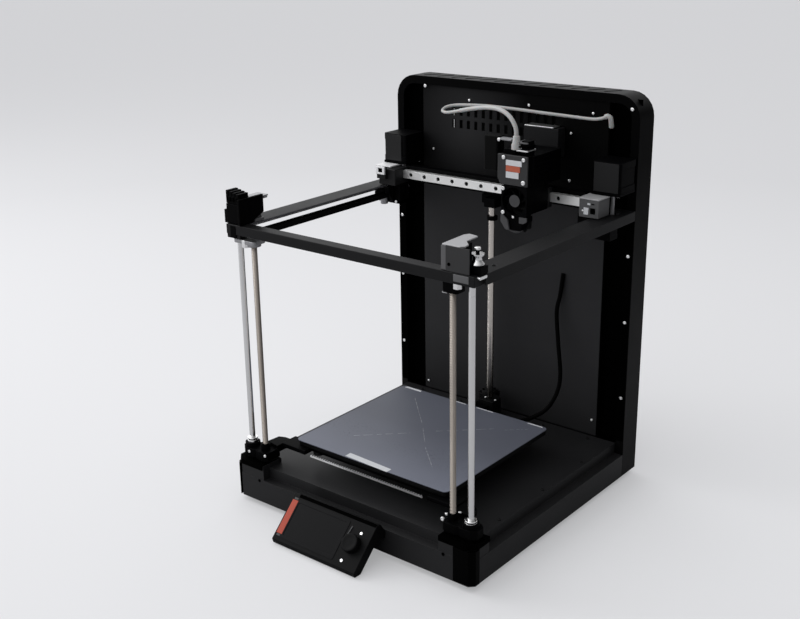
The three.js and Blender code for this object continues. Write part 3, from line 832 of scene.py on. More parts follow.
def build_bar_corner(side, sign, front, high, bar_low):
    """End block of the front bar, with the seats of the lead screw and the smooth rod."""
    screw_x, screw_y = middle(f"lead_screw_{side}")
    rod_x, _ = middle(f"smooth_rod_{side}")
    top = high - 1.2
    if sign > 0:
        end = Shape().block(169, 190.4, front - 0.6, front + 8, bar_low + 3.2, top, 0.8)
        seat = Shape().prism(rectangle(148, 170, screw_y - 9, screw_y + 10, 4), "z", bar_low - 14.2,
                             bar_low - 0.6, 0.8)
        rim = Shape().block(147, 153.7, screw_y - 6, screw_y + 6, bar_low - 16.4, bar_low - 14.4, 0.4)
        rim.done(f"screw_bearing_rim_{side}", "satin_metal", "frame")
    else:
        end = Shape().block(-190.6, -180, front - 0.4, front + 8, bar_low - 4.6, top, 0.8)
        seat = Shape().prism(rectangle(-189, -151, screw_y - 12, screw_y + 11, 4), "z", bar_low - 11,
                             bar_low - 5.8, 0.8)
        seat.turned([(9.5, bar_low - 15), (9.5, bar_low - 11.2)], (screw_x, screw_y), soft=0.6)
    end.done(f"bar_end_{side}", "mid_metal" if sign > 0 else "deep_plastic", "frame")
    seat.done(f"screw_bearing_{side}", "deep_plastic" if sign > 0 else "aluminium", "frame")
    rod_top = box(f"smooth_rod_{side}")[1].z
    sleeve = Shape().turned([(4, rod_top + 0.2), (4, bar_low - 0.2)], (rod_x, screw_y))
    sleeve.done(f"rod_seat_{side}", "polished_steel", "frame")
    nut_top = bar_low + 3 if sign > 0 else bar_low - 6
    nut = Shape().turned([(5.6, nut_top - 10), (5.6, nut_top)], (sign * 170.2, front + 7), count=6, soft=0.5)
    nut.done(f"bar_nut_{side}", "bright_zinc", "frame")


def build_beam_fasteners():
    spots = []
    for side, sign in SIDES:
        low, high = box(f"side_beam_{side}")
        spots += [(sign * 189.5, y, high.z) for y in (-150, 136)]
        outline = rectangle(low.y - 12.5, low.y + 2.5, high.z - 4.6, high.z - 1.0, 1.7)
        bolt = Shape().prism(outline, "x", *span(sign, 190, 201.8), soft=0.5)
        bolt.done(f"corner_bolt_{side}", "bright_zinc", "frame")
    screws("beam_screws", "black_plastic", "frame", spots, UP, 2.3, 1.0)


def build_idler_brackets():
    build_idler_bracket_right()
    build_idler_bracket_left()
    for side, _ in SIDES:
        build_idler(side)


def build_idler_bracket_right():
    """A folded plate over the bar's end: thin front, block behind it and an open pocket for the spool."""
    low, high = box("idler_bracket_right")
    front, base, top = low.y, low.z, high.z
    body = Shape().prism([(157.5, front + 1.4), (190, front + 1.4), (190, front + 5), (179, front + 5.6),
                          (179, front + 14), (172, front + 20), (172, front + 31), (157.5, front + 31)],
                         "z", base, top - 2.3, 0.5)
    body.block(180, 201, front + 6, front + 21, base, base + 9, 0.6)
    body.done("idler_block_right", "deep_plastic", "frame", ("idler_bracket_right",))
    face = Shape().block(157.3, 190, front, front + 1.3, base - 0.2, top - 1, 0.4)
    face.done("idler_face_right", "cover_plastic", "frame")
    web = Shape().block(150, 157, front + 1.2, front + 31, base, top - 2.2, 0.5)
    web.done("idler_web_right", "mid_metal", "frame")
    plate = Shape()
    plate.prism([(151.7, front + 1), (176.2, front + 0.7), (180.3, front + 5.6), (178.8, front + 14.5),
                 (168.3, front + 25.2), (166.9, front + 49), (153.5, front + 52), (149.6, front + 45)],
                "z", top - 2.0, top, 0.5)
    plate.done("idler_plate_right", "satin_metal", "frame")
    heads = Shape().screw((162, front + 0.2, base + 8), FORWARD, 2.0, 0.8)
    heads.screw((181, front + 22, base + 9), UP, 2.4, 1.4)
    heads.done("idler_block_screws_right", "recess_black", "frame")


def build_idler_bracket_left():
    """The left bracket stands further out: its inner wall closes the idler's pocket off."""
    low, high = box("idler_bracket_left")
    front, base, top = low.y, low.z, high.z
    wall = Shape().prism([(front - 2.6, base), (front + 12, base), (front + 24, base + 4),
                          (front + 41, base + 11), (front + 41, top + 4), (front - 2.6, top + 4)],
                         "x", -174, -170, 0.6)
    wall.block(-198, -174.2, front + 1, front + 20.5, base, top - 4.4, 0.6)
    wall.block(-200.5, -174.2, front + 21, front + 30, base, top - 4, 0.6)
    wall.done("idler_wall_left", "deep_plastic", "frame", ("idler_bracket_left",))
    foot = Shape().block(-183, -175, front + 31, front + 41, base, base + 8.5, 0.6)
    foot.block(-173.8, -170.2, front + 25, front + 41, base, base + 3.6, 0.4)
    foot.done("idler_foot_left", "mid_metal", "frame")
    plate = Shape().block(-200, -174.4, front + 21, front + 53, top - 3.6, top - 1.4, 0.5)
    plate.block(-191, -172, front + 3, front + 52, top - 0.6, top + 1.6, 0.5)
    plate.done("idler_plate_left", "satin_metal", "frame")
    comb = Shape()
    for k in range(4):
        x = -198.5 + 6 * k
        comb.block(x, x + 4.9, front + 2, front + 20, top - 2, top + 13 - 1.2 * k, 0.6)
    comb.block(-198.5, -175, front + 2, front + 20, top - 4.2, top + 5, 0.6)
    comb.done("idler_comb_left", "deep_plastic", "frame")
    latch = Shape().block(-208, -198.4, front + 6, front + 16, base - 2, base + 16, 0.8)
    latch.done("door_catch_left", "deep_plastic", "frame")


def build_idler(side):
    """The front idler: a flanged spool on two bearings, with a screw through it."""
    low, high = box(f"front_idler_{side}")
    centre = middle(f"front_idler_{side}")
    top = high.z - 3.5
    spool = Shape()
    spool.turned([(2.6, low.z), (7.9, low.z), (7.9, low.z + 1.6), (5.2, low.z + 4.2), (5.2, top - 4.2),
                  (7.9, top - 1.6), (7.9, top), (2.6, top)], centre, count=40, closed=True)
    spool.done(f"idler_spool_{side}", "polished_steel", f"idler_{side}", (f"front_idler_{side}",))
    pin = Shape().turned([(2.2, low.z - 1.2), (2.2, high.z + 1)], centre)
    pin.done(f"idler_pin_{side}", "deep_plastic", "frame")
    screws(f"idler_screw_{side}", "bright_zinc", "frame", [(*centre, high.z + 1)], UP, 3.6, 2.6)


# ------------------------------------------------------------------ motors

def build_drives():
    for side, sign in SIDES:
        low, high = box(f"xy_motor_{side}")
        x, y = middle(f"xy_pulley_{side}")
        half, deep = 21, 42
        front = low.y
        motor = Shape()
        for z0, z1, inset in ((low.z, low.z + 8, 0), (low.z + 8.2, high.z - 9.2, 0.7),
                              (high.z - 9, high.z, 0)):
            reach = half - inset
            motor.prism(rectangle(x - reach, x + reach, front + inset, front + deep - inset, 3.5, 2),
                        "z", z0, z1, 0.4)
        motor.block(x - 16, x + 16, front + 40, high.y, 436, 462, 0.6)
        motor.done(f"xy_motor_body_{side}", "deep_plastic", "frame", (f"xy_motor_{side}",))
        # a paler plate on the motor's front with darker sides: painted light on the lit front face; on the
        # left motor it stops short, leaving painted shade on the rest of the face
        right = x + 12 if sign < 0 else x + half - 3
        face = Shape().block(x - half + 3, right, front - 0.5, front + 0.4, low.z + 1, high.z - 1, 0.3)
        face.done(f"xy_motor_lit_face_{side}", "black_plastic", "frame")
        outline = rectangle(x - half, x + half, front - 1, front + deep, 2)
        plate = Shape().plate(outline, [hole((x, y), 11)], "z", low.z - 3, low.z - 0.2, 0.3)
        plate.done(f"xy_motor_plate_{side}", "deep_plastic", "frame")
        spots = [(x + u, front + v, low.z - 3) for u in (-15.5, 15.5) for v in (5.5, 36.5)]
        screws(f"xy_motor_screws_{side}", "bright_zinc", "frame", spots, DOWN, 2.4, 1.6)
        build_pulley(side, x, y)


def build_pulley(side, x, y):
    """A toothed belt pulley on the motor's shaft."""
    low, high = box(f"xy_pulley_{side}")
    profile = ((7.2, 1, 0), (7.2, 2.3, 0), (6.1, 2.5, 0.6), (6.1, 10, 0.6), (7.2, 10.2, 0), (7.2, 12, 0))
    pulley = Shape().skin([[(x + u, y + v, low.z + level) for u, v in toothed(radius, groove, 20, 80)]
                           for radius, level, groove in profile])
    pulley.turned([(2.5, low.z), (2.5, high.z)], (x, y), count=20)
    pulley.done(f"belt_pulley_{side}", "aluminium", f"pulley_{side}", (f"xy_pulley_{side}",))


# ------------------------------------------------------------------ bed lift

def build_lift():
    seals = Shape()
    for place in ("left", "right", "rear"):
        rear = place == "rear"
        dress(f"smooth_rod_{place}", "shaded_foot_steel" if rear else "polished_steel", 0)
        dress(f"z_motor_{place}", "black_plastic", 1.2)
        build_lead_screw(place, "shaded_foot_steel" if rear else "screw_steel")
        top = DECK if rear else DECK + 6
        for kind, inner in (("smooth_rod", 4.3), ("lead_screw", 4.6)):
            seals.turned([(inner, top), (8.2, top), (8.2, top + 0.6), (6.6, top + 1.2), (inner, top + 1.2)],
                         middle(f"{kind}_{place}"), count=36, closed=True)
    seals.done("rod_seals", "rubber", "frame")


def build_lead_screw(place, finish):
    """Four-start thread with an 8 mm lead, cut as a helix round the screw."""
    low, high = box(f"lead_screw_{place}")
    x, y = middle(f"lead_screw_{place}")
    starts, lead, step = 4, 8.0, 0.5

    def reach(angle, z):
        phase = (starts * (angle / (2 * math.pi) - z / lead)) % 1.0
        return 3.35 + 0.62 * min(1.0, max(0.0, 2.0 - abs(phase - 0.5) * 6.0))

    levels = int((high.z - low.z) / step)
    rings = []
    for k in range(levels + 1):
        z = low.z + (high.z - low.z) * k / levels
        rings.append([(x + u, y + v, z) for u, v in wheel(24, lambda angle: reach(angle, z))])
    Shape().skin(rings).done(f"thread_{place}", finish, f"screw_{place}", (f"lead_screw_{place}",))


# ------------------------------------------------------------------ bed

def build_bed():
    dress("print_sheet", "print_surface", 0.15)
    dress("heatbed", "display_shell", 0.6)
    dress("bed_carrier", "deep_plastic", 0.8)
    build_sheet_marks()
    strip = Shape().block(-95, 97, -168.2, -166.4, 80.2, 82.2, 0.2)
    teeth, pitch = 48, 4
    for k in range(teeth):
        x = -94.5 + pitch * k
        strip.prism([(x, 82.0), (x + 2.2, 82.0), (x + 3.2, 84), (x + 1, 84)], "y", -168.6, -166.8, 0)
    strip.done("bed_front_strip", "bright_zinc", "bed")
    build_bed_springs()
    for side, sign in SIDES:
        build_bed_bracket(side, sign)
    build_rear_bracket()


def build_sheet_marks():
    """Pale fields along the sheet's edges and the broken lines of old prints across it."""
    _, high = box("print_sheet")
    under, top, edge = high.z - 0.1, high.z, high.y
    labels = Shape().prism([(-40, -158), (34, -161), (34, -151.5), (-40, -147.5)], "z", under, top + 0.08, 0)
    for x0, x1, deep in ((-123, -92, 4), (-31, -10, 1.6), (8, 38, 1.6), (96, 122, 2.4)):
        field = [(x0, edge - 1.4 - deep), (x1, edge - 1.4 - deep), (x1 - 2, edge - 1.2), (x0 + 2, edge - 1.2)]
        labels.prism(field, "z", under, top + 0.08, 0)
    labels.done("sheet_labels", "label_white", "bed")
    chance = random.Random(7)
    marks = Shape()
    for start, end, width in (
            ((-84, 48), (-17, -20), 0.35), ((-10, -28), (18, -60), 0.35), ((30, -74), (72, -114), 0.5),
            ((-72, -104), (-15, -50), 0.4), ((10, -24), (70, 31), 0.35), ((84, 36), (110, 60), 0.3)):
        a, b = Vector(start), Vector(end)
        across = Vector((a.y - b.y, b.x - a.x)).normalized() * width
        place = 0.0
        while place < 1.0:
            reach = min(1.0, place + chance.uniform(0.05, 0.2))
            p, q = a.lerp(b, place), a.lerp(b, reach)
            line = [p + across, p - across, q - across * 0.4, q + across * 0.4]
            marks.prism(line, "z", under, top + 0.05, 0)
            place = reach + chance.uniform(0.02, 0.1)
    marks.done("sheet_lines", "satin_metal", "bed")


def build_bed_springs():
    """Knurled levelling nuts under the corners of the heated plate."""
    low = box("bed_carrier")[0].z
    nuts = Shape()
    for spot in ((x, y) for x in (-105, 105) for y in (-140, 58)):
        nuts.turned([(7, low - 9), (8, low - 8), (8, low - 2), (7, low - 1)], spot, count=18, soft=0.3)
        nuts.turned([(2, low - 1), (2, low + 0.5)], spot, count=16)
    nuts.done("levelling_nuts", "black_plastic", "bed")


def sleeve(shape, spot, inner, outer, low, high, soft=0.0, count=40):
    """A plain ring round an upright axis."""
    outline = [(inner, low), (outer, low), (outer, high), (inner, high)]
    shape.turned(outline, spot, count=count, soft=soft, closed=True)


def build_bed_bracket(side, sign):
    """Clamp of one front corner: a black body round the rod's bearing and the lead screw's nut."""
    low, high = box(f"bed_bracket_{side}")
    rod = middle(f"smooth_rod_{side}")
    nut = middle(f"lead_screw_{side}")
    bottom, top = low.z, high.z
    body = Shape()
    outline = [(150, -195), (154, -197.5), (168, -197.5), (173, -195), (178, -197), (192, -197), (199, -191),
               (199, -179), (193, -173), (178, -173), (172, -171), (150, -171)]
    holes = [hole(rod, 7.6), hole(nut, 5.2)]
    body.plate([(sign * x, y) for x, y in outline], holes, "z", bottom, top - 7, 1.2)
    shoulder = ((149.3, -176), (172, -172), (170, -152), (160, -148), (149.3, -148))
    body.prism([(sign * x, y) for x, y in shoulder], "z", bottom + 7, top - 2, 0.8)
    sleeve(body, rod, 7.7, 10.4, top - 7.2, top - 1.5, 0.6, 36)
    body.done(f"bed_bracket_body_{side}", "deep_plastic", "bed", (f"bed_bracket_{side}",))
    level = top - 5.6 if sign > 0 else top - 2
    bearing = Shape()
    sleeve(bearing, rod, 4.15, 7.4, bottom, level - 0.2)
    sleeve(bearing, rod, 4.15, 7.6, level, level + 4, 0.4, 48)
    sleeve(bearing, rod, 4.15, 7.6, level + 5.4, level + 7.2, 0.4, 48)
    bearing.done(f"rod_bearing_{side}", "polished_steel", "bed")
    groove = Shape()
    sleeve(groove, rod, 4.15, 6.8, level + 4.1, level + 5.3)
    groove.done(f"rod_bearing_seal_{side}", "rubber", "bed")
    barrel = Shape()
    barrel.turned([(4.25, bottom), (5.1, bottom), (5.1, top - 6.8), (6.4, top - 6.8), (6.4, top + 1),
                   (4.25, top + 1)], nut, count=40, closed=True)
    sleeve(barrel, nut, 4.25, 5.6, top + 1.1, top + 2.4)
    barrel.done(f"lead_nut_{side}", "deep_plastic", "bed")
    heads = Shape()
    if sign > 0:
        heads.screw((nut[0] + 3.5, nut[1] + 10, top - 1.9), UP, 2.2, 1.8)
        heads.screw((151.5, -196.2, top - 3), FORWARD, 2.6, 2.6)
        heads.screw((151.5, -189, top - 1), UP, 2.2, 2)
    else:
        heads.screw((-152, -197.3, top - 10), FORWARD, 2.2, 1.6)
        heads.screw((-182.6, -197, top - 11.6), FORWARD, 2.2, 1.6)
    heads.done(f"bed_bracket_screws_{side}", "bright_zinc", "bed")


def build_rear_bracket():
    low, high = box("bed_bracket_rear")
    rod = middle("smooth_rod_rear")
    nut = middle("lead_screw_rear")
    outline = [(-13, 109.5), (13, 109.5), (13, 131), (9, 135), (-3, 138), (-3, 151), (-7, 155), (-25, 155),
               (-29, 151), (-29, 133), (-25, 129), (-13, 127)]
    body = Shape().plate(outline, [hole(rod, 7.6), hole(nut, 5.2)], "z", low.z, high.z, 0.7)
    body.done("bed_bracket_body_rear", "display_shell", "bed", ("bed_bracket_rear",))
    # the rear bearing takes the bracket's near-black instead of steel: painted shade
    bearing = Shape()
    sleeve(bearing, rod, 4.15, 7.4, low.z - 2, high.z + 0.2)
    bearing.done("rod_bearing_rear_shaded", "display_shell", "bed")
    spots = [(x, y, high.z - 0.2) for x, y in ((-6.7, 120), (11, 119))]
    screws("bed_bracket_screws_rear", "bright_zinc", "bed", spots, UP, 1.9, 1.2)
    build_lead_nut(nut, high.z)


def build_lead_nut(centre, top):
    """Flanged nut on the rear lead screw, held by four small screws."""
    flange = Shape()
    flange.turned([(4.25, top - 8), (5.1, top - 8), (5.1, top), (10.8, top), (10.8, top + 3),
                   (6.4, top + 3.4), (6.4, top + 6), (4.25, top + 6)], centre, count=40, closed=True)
    flange.done("lead_nut_rear", "black_plastic", "bed")
    spots = []
    for i in range(4):
        angle = math.radians(45 + 90 * i)
        spots.append((centre[0] + 8.4 * math.cos(angle), centre[1] + 8.4 * math.sin(angle), top + 3))
    screws("lead_nut_rear_screws", "recess_black", "bed", spots, UP, 1.7, 1.6)


# ------------------------------------------------------------------ gantry

def build_gantry():
    dress("x_beam", "deep_plastic", 0.8)
    dress("x_rail", "rail_steel", 0.4)
    low, high = box("x_rail")
    spots = [(i * 25 - 10.7, low.y + 4.4, (low.z + high.z) / 2) for i in range(-5, 6)]
    screws("x_rail_screws", "black_plastic", "gantry", spots, FORWARD, 2.7, 2.6)
    for side, sign in SIDES:
        build_y_carriage(side, sign)


def build_y_carriage(side, sign):
    """Carriage on the beam's rail: a head above the beam, an arm round its edge and a runner below."""
    low, high = box(f"y_carriage_{side}")
    beam_top = box(f"side_beam_{side}")[1].z
    left = sign < 0
    front, back = low.y, high.y
    inner = 149.8 if left else 155.5
    outer = 180 if left else 184.6
    head_low = beam_top + 1
    head = Shape()
    head.block(*span(sign, inner, outer), front + (5 if left else 0), back, head_low, high.z - 2.2, 0.9)
    if left:
        head.block(-180, -164, front, front + 4.9, head_low + 9, high.z + 1, 0.6)
    head.done(f"carriage_head_{side}", "black_plastic" if left else "carriage_grey", "gantry",
              (f"y_carriage_{side}",))
    arm = Shape().block(*span(sign, 149.8, 160), back - 21, back, low.z, head_low + 2, 0.7)
    arm.block(*span(sign, 149.8, 198.5), back - 21, back, low.z, low.z + 6, 0.7)
    arm.block(*span(sign, 180.5, 198.5), back - 21, back - 1, low.z + 5, low.z + 14, 0.6)
    arm.block(*span(sign, 160, 169), back - 26, back, low.z + 5, head_low, 0.7)
    arm.done(f"carriage_arm_{side}", "deep_plastic", "gantry")
    bearing = Shape()
    bearing.block(*span(sign, 180.6, 198.4), back - 20.6, back - 1.2, low.z + 14.2, beam_top - 9.8, 0.6)
    bearing.done(f"y_bearing_{side}", "deep_plastic", "gantry")
    plate = Shape()
    if left:
        plate.block(-191.6, -164.6, front + 12.4, back + 2, high.z - 1.8, high.z + 0.2, 0.5)
    else:
        plate.block(inner - 0.4, outer + 0.6, front - 0.4, back, high.z - 2, high.z, 0.5)
    plate.done(f"carriage_plate_{side}", "bright_metal" if left else "plate_metal", "gantry")
    tab, blank, heads = Shape(), Shape(), Shape()
    if left:
        window = rectangle(-175, -167.2, 418.2, 424.6)
        tab.plate(rectangle(-179, -163.5, 415.5, 427), [window], "y", front - 3, front - 0.2, 0.3)
        blank.block(-174.7, -167.5, front - 1.8, front - 0.3, 418.5, 424.3, 0.2)
        heads.screw((-156, back - 22, low.z + 3.5), FORWARD, 2.2, 1.4)
        drum = Shape().turned([(5.4, 369), (5.4, 381)], (-175, back - 27), count=32, soft=0.6)
        drum.done("belt_roller_left", "aluminium", "gantry")
        cheek = Shape().prism([(back - 33, 396), (back - 33, 388), (back - 27, 378), (back - 21.2, 370.5),
                               (back - 21.2, 396)], "x", -168.5, -161, 0.6)
        cheek.done("carriage_cheek_left", "deep_plastic", "gantry")
    else:
        tab.block(163.2, 170.2, front - 1.6, front - 0.1, 403.4, 412.6, 0.3)
        tab.block(168.4, 172.6, front - 1.2, front - 0.1, 416.4, 418.8, 0.3)
        blank.block(172.6, 179.4, front - 0.9, front + 0.5, 405, 412.6, 0.2)
        blank.block(174, 178, front - 0.9, front + 0.5, 417.4, 418.6, 0.1)
        heads.screw((161.2, front, 408), FORWARD, 1.2, 0.6)
    tab.done(f"belt_tab_{side}", "bright_metal" if left else "label_white", "gantry")
    blank.done(f"belt_tab_block_{side}", "recess_black", "gantry")
    heads.done(f"carriage_screw_{side}", "bright_zinc", "gantry")


# ------------------------------------------------------------------ toolhead

def build_toolhead():
    dress("x_bearing", "black_plastic", 0.6)
    dress("hotend", "rubber", 0.3)
    dress("extruder_motor", "deep_plastic", 1.0)
    low, high = box("toolhead_cover")
    face = low.y
    build_tool_body()
    build_cover(high, face)
    build_fan(face)
    build_ducts(face)
    build_tool_top()


def build_tool_body():
    _, high = box("toolhead_body")
    body = Shape().prism(rectangle(57.5, 104.5, 62.2, high.y, 3, 3), "z", 438, high.z, 0.6)
    body.prism([(60, 62.4), (102, 62.4), (102, high.y), (60, high.y)], "z", 399.5, 438.2, 0.8)
    body.block(39, 58, 80, 92, 448, 470, 0.8)
    body.done("tool_body", "deep_plastic", "toolhead", ("toolhead_body",))
    box_left = Shape().prism(rectangle(16, 39, 76, 94, 3, 3), "z", 448, 494, 0.8)
    box_left.done("tool_cable_box", "belt_rubber", "toolhead")
    ribs = Shape()
    for k in range(5):
        z = 446 + 6 * k
        ribs.block(103.6, 105.2, 66, 98, z, z + 2.4, 0.4)
    ribs.done("tool_body_ribs", "deep_plastic", "toolhead")


def gear_outline(inset):
    """Twenty-four flat-topped teeth round the drive gear."""
    return wheel(192, lambda angle: 13.1 + 0.85 * max(-1.0, min(1.0, 2.2 * math.cos(24 * angle))) - inset)


def build_cover(high, face):
    """Front cover with its screws and a plain striped label, and the drive gear behind it."""
    outline = [(56.7, 446.4), (61.2, 438.2), (103.4, 438.2), (103.4, high.z), (56.7, high.z)]
    cover = Shape().prism(outline, "y", face, face + 2.6, 0.9, 3)
    cover.done("front_cover", "cover_plastic", "toolhead", ("toolhead_cover",))
    backing = Shape().prism(outline, "y", face + 2.8, face + 11.6, 0.6)
    backing.done("cover_backing", "deep_plastic", "toolhead")
    low, high = box("drive_gear")
    x, z = (low.x + high.x) / 2, (low.z + high.z) / 2
    gear = Shape().skin([[(x + u, y, z + v) for u, v in gear_outline(inset)] for y, inset in (
        (low.y + 0.2, 0.4), (low.y + 0.6, 0), (high.y - 0.6, 0), (high.y - 0.2, 0.4))])
    gear.done("gear_wheel", "brass", "drive_gear", ("drive_gear",))
    label = Shape().block(70, 94.5, face - 0.45, face + 0.1, 464.3, 471.5, 0.1)
    label.block(70.3, 90, face - 0.45, face + 0.1, 447.8, 456.0, 0.1)
    label.done("cover_label", "label_white", "toolhead")
    band = Shape().block(70.2, 92, face - 0.45, face + 0.1, 456.3, 464.0, 0.1)
    band.done("cover_label_band", "label_orange", "toolhead")
    heads = Shape()
    for x, z, radius in ((66.8, 474.2, 2.7), (97.6, 473.6, 2.7), (97.6, 443.6, 3.1), (66.6, 433.2, 2.7),
                         (66.8, 401.2, 2.7)):
        heads.screw((x, face, z), FORWARD, radius, 1.7)
    heads.done("cover_screws", "bright_zinc", "toolhead")


def build_fan(face):
    """A 40 mm fan: square frame with a round throat, struts, hub and seven curved blades."""
    low, high = box("fan_frame")
    fan_low, fan_high = box("hotend_fan")
    x, z = (low.x + high.x) / 2, (low.z + high.z) / 2
    throat = hole((x, z), 18.2, 48)
    struts, blades, stations = 3, 7, 7
    casing = Shape()
    casing.plate(rectangle(low.x, high.x, low.z, high.z, 3, 3), [throat], "y", low.y + 0.3, high.y, 0.5)
    casing.turned([(8.4, high.y - 1.6), (8.4, high.y - 0.2)], (x, z), "y", 32)
    for i in range(struts):
        angle = math.radians(30 + 360 / struts * i)
        strut = [(x + r * math.cos(angle), high.y - 1.0, z + r * math.sin(angle)) for r in (7, 19)]
        casing.sweep(strut, 1.0, 8)
    casing.done("fan_casing", "deep_plastic", "toolhead", ("fan_frame",))
    rotor = Shape()
    rotor.turned([(7.6, fan_low.y + 0.9), (8.6, fan_low.y + 1.7), (8.6, fan_high.y)], (x, z), "y", 40)
    for i in range(blades):
        rings = []
        for k in range(stations):
            share = k / (stations - 1)
            radius = 8.2 + 9.0 * share
            turn = 2 * math.pi * i / blades + 0.5 * share
            chord = 2.4 + 1.6 * share
            points = []
            for u, v in ((-1, -0.35), (1, -0.35), (1, 0.35), (-1, 0.35)):
                angle = turn + (u * chord * 0.8 + v) / radius
                depth = (fan_low.y + fan_high.y) / 2 + u * (2.3 - 0.5 * share) + 0.4
                points.append((x + radius * math.cos(angle), depth, z + radius * math.sin(angle)))
            rings.append(points)
        rotor.skin(rings)
    rotor.done("fan_rotor", "deep_plastic", "hotend_fan", ("hotend_fan",))
    cap = Shape().turned([(8.1, fan_low.y + 0.5), (8.1, fan_low.y + 0.88)], (x, z), "y", 40)
    cap.done("fan_hub_label", "grey_metal", "hotend_fan")
    screws("fan_screw", "bright_zinc", "toolhead", [(x - 0.5, face + 0.5, 396.2)], FORWARD, 1.7, 1.2)


def build_ducts(face):
    """Part-cooling ducts beside the nozzle: two grey tapered mouths and a lip on a black housing."""
    block = Shape().block(62, 101.5, face + 3, face + 18, 389.5, 397, 0.8)
    block.prism([(67, 389.8), (96, 389.8), (91, 377), (73, 377)], "y", face + 4, face + 20, 0.8)
    block.done("duct_housing", "deep_plastic", "toolhead", ("cooling_duct",))
    mouths = Shape().prism([(62, 397), (66, 397), (73, 391), (76, 377.4), (70, 377.4), (62, 388)], "y",
                           face + 0.6, face + 3.6, 0.6)
    mouths.prism([(91, 397.6), (103, 397.6), (103, 392), (98, 388.6), (91, 388.6)], "y",
                 face + 0.6, face + 2.8, 0.6)
    mouths.done("duct_mouths", "duct_grey", "toolhead")
    lip = Shape()
    path = []
    for k in range(9):
        angle = math.pi * (1.15 + 0.7 * k / 8)
        path.append((81 + 11 * math.cos(angle), face + 8, 381 + 6.5 * math.sin(angle)))
    lip.sweep(path, 1.8, 10)
    lip.done("duct_lip", "duct_grey", "toolhead")


def build_tool_top():
    """Tube fitting with its strain relief, cooling fins and the cable plate on the top."""
    _, high = box("toolhead_body")
    top = high.z
    for k, finish in enumerate(("bright_zinc", "recess_black", "mid_metal")):
        z = top + 5.6 + 5 * k
        fin = Shape().prism(rectangle(80.5, 99 - k, 56 + k, 78, 2), "z", z, z + 1.8, 0.3)
        fin.done(f"tool_fin_{k + 1}", finish, "toolhead")
    core = Shape().prism(rectangle(86, 98, 60, 76, 3), "z", top - 0.4, top + 19, 0.5)
    core.prism(rectangle(60, 80, 58, 78, 2), "z", top - 0.4, top + 7, 0.5)
    core.done("tool_top_block", "deep_plastic", "toolhead")
    neck = Shape()
    neck.turned([(6.4, top + 7.2), (6.4, top + 13), (5.2, top + 16), (4.4, top + 24), (3.4, top + 25)],
                (79, 60), count=28)
    neck.done("tube_fitting", "pale_plastic", "toolhead")
    Shape().block(42.5, 62, 74, 84, 490.5, 493.2, 0.4).done("cable_plate", "aluminium", "toolhead")
    screws("cable_plate_screw", "bright_zinc", "toolhead", [(42.5, 74.5, 491)], FORWARD, 2.4, 1.8)


# ------------------------------------------------------------------ tubes, cables and belts

def smooth_path(points, per_span=8):
    """Catmull-Rom curve through the points."""
    knots = [Vector(points[0])] + [Vector(p) for p in points] + [Vector(points[-1])]
    path = []
    for i in range(1, len(knots) - 2):
        a, b, c, d = knots[i - 1:i + 3]
        for k in range(per_span):
            t = k / per_span
            path.append(0.5 * ((2 * b) + (c - a) * t + (2 * a - 5 * b + 4 * c - d) * t * t
                               + (3 * b - a - 3 * c + d) * t ** 3))
    path.append(knots[-2])
    return path


def build_tubes():
    first = Shape()
    loop = [(79, 60, 500), (77.5, 60.5, 511), (70, 62, 522), (57, 66, 529), (40, 72, 531.5), (18, 80, 530),
            (-10, 90, 525), (-40, 100, 518)]
    first.sweep(smooth_path(loop), 2.9, 16)
    piece = first.free("filament_tube_front", "pale_plastic")
    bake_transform(piece)
    second = Shape()
    rest = [(-40, 100, 518), (-68, 110, 511.5), (-82, 117, 510.5), (-87, 123, 512), (-84, 129, 515.5),
            (-72, 135, 518), (-47, 138, 519.7), (-18, 141, 520.4), (28, 145, 519.2), (60, 147, 518),
            (100, 149.5, 516.8), (136, 151, 516), (150, 151, 517.8), (158, 152, 521)]
    second.sweep(smooth_path(rest), 2.2, 16)
    piece = second.free("filament_tube_rear", "pale_plastic")
    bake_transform(piece)
    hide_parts("filament_tube")
    elbow = Shape()
    elbow.sweep(smooth_path([(156, 151.8, 520.4), (160, 152.5, 521.6), (163, 153.5, 519), (163.2, 155.5, 513),
                             (162.6, 158, 507)]), 3.3, 16)
    elbow.done("tube_elbow", "pale_plastic", "frame")


def build_wall_cable():
    """The bed's cable: from the rear panel down to the back of the bed."""
    path = [(94, 163, 292), (92, 160, 262), (90, 155, 236), (98, 148, 195), (108, 140, 150), (108, 132, 124),
            (98, 122, 100), (84, 108, 88), (74, 96, 84), (66, 84, 84)]
    cable = Shape().sweep(smooth_path(path), 3.0, 14)
    piece = cable.free("bed_cable", "cable_jacket")
    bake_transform(piece)


BELT_WIDTH = 6
BELT_LEVEL = 380                # lower edge of the belts that run along the beams


def belt_run(name, start, end, low, bodies):
    """A straight toothed belt run; teeth every 2 mm on one face."""
    a, b = Vector(start), Vector(end)
    along = (b - a).normalized()
    across = Vector((along.y, -along.x)) * 0.5
    count = max(2, int((b - a).length / 2))
    outline = [a + across, b + across]
    for k in range(count, 0, -1):
        centre = a + (b - a) * ((k - 0.5) / count)
        outline += [centre + along * 0.75 - across, centre + along * 0.5 - across * 2.6,
                    centre - along * 0.5 - across * 2.6, centre - along * 0.75 - across]
    outline.insert(2, b - across)
    outline.append(a - across)
    outline = [tuple(p) for p in outline]
    piece = Shape().prism(outline, "z", low, low + BELT_WIDTH, 0).free(name, "belt_rubber")
    if len(bodies) == 1:
        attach(piece, bodies[0])
    else:
        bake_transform(piece)


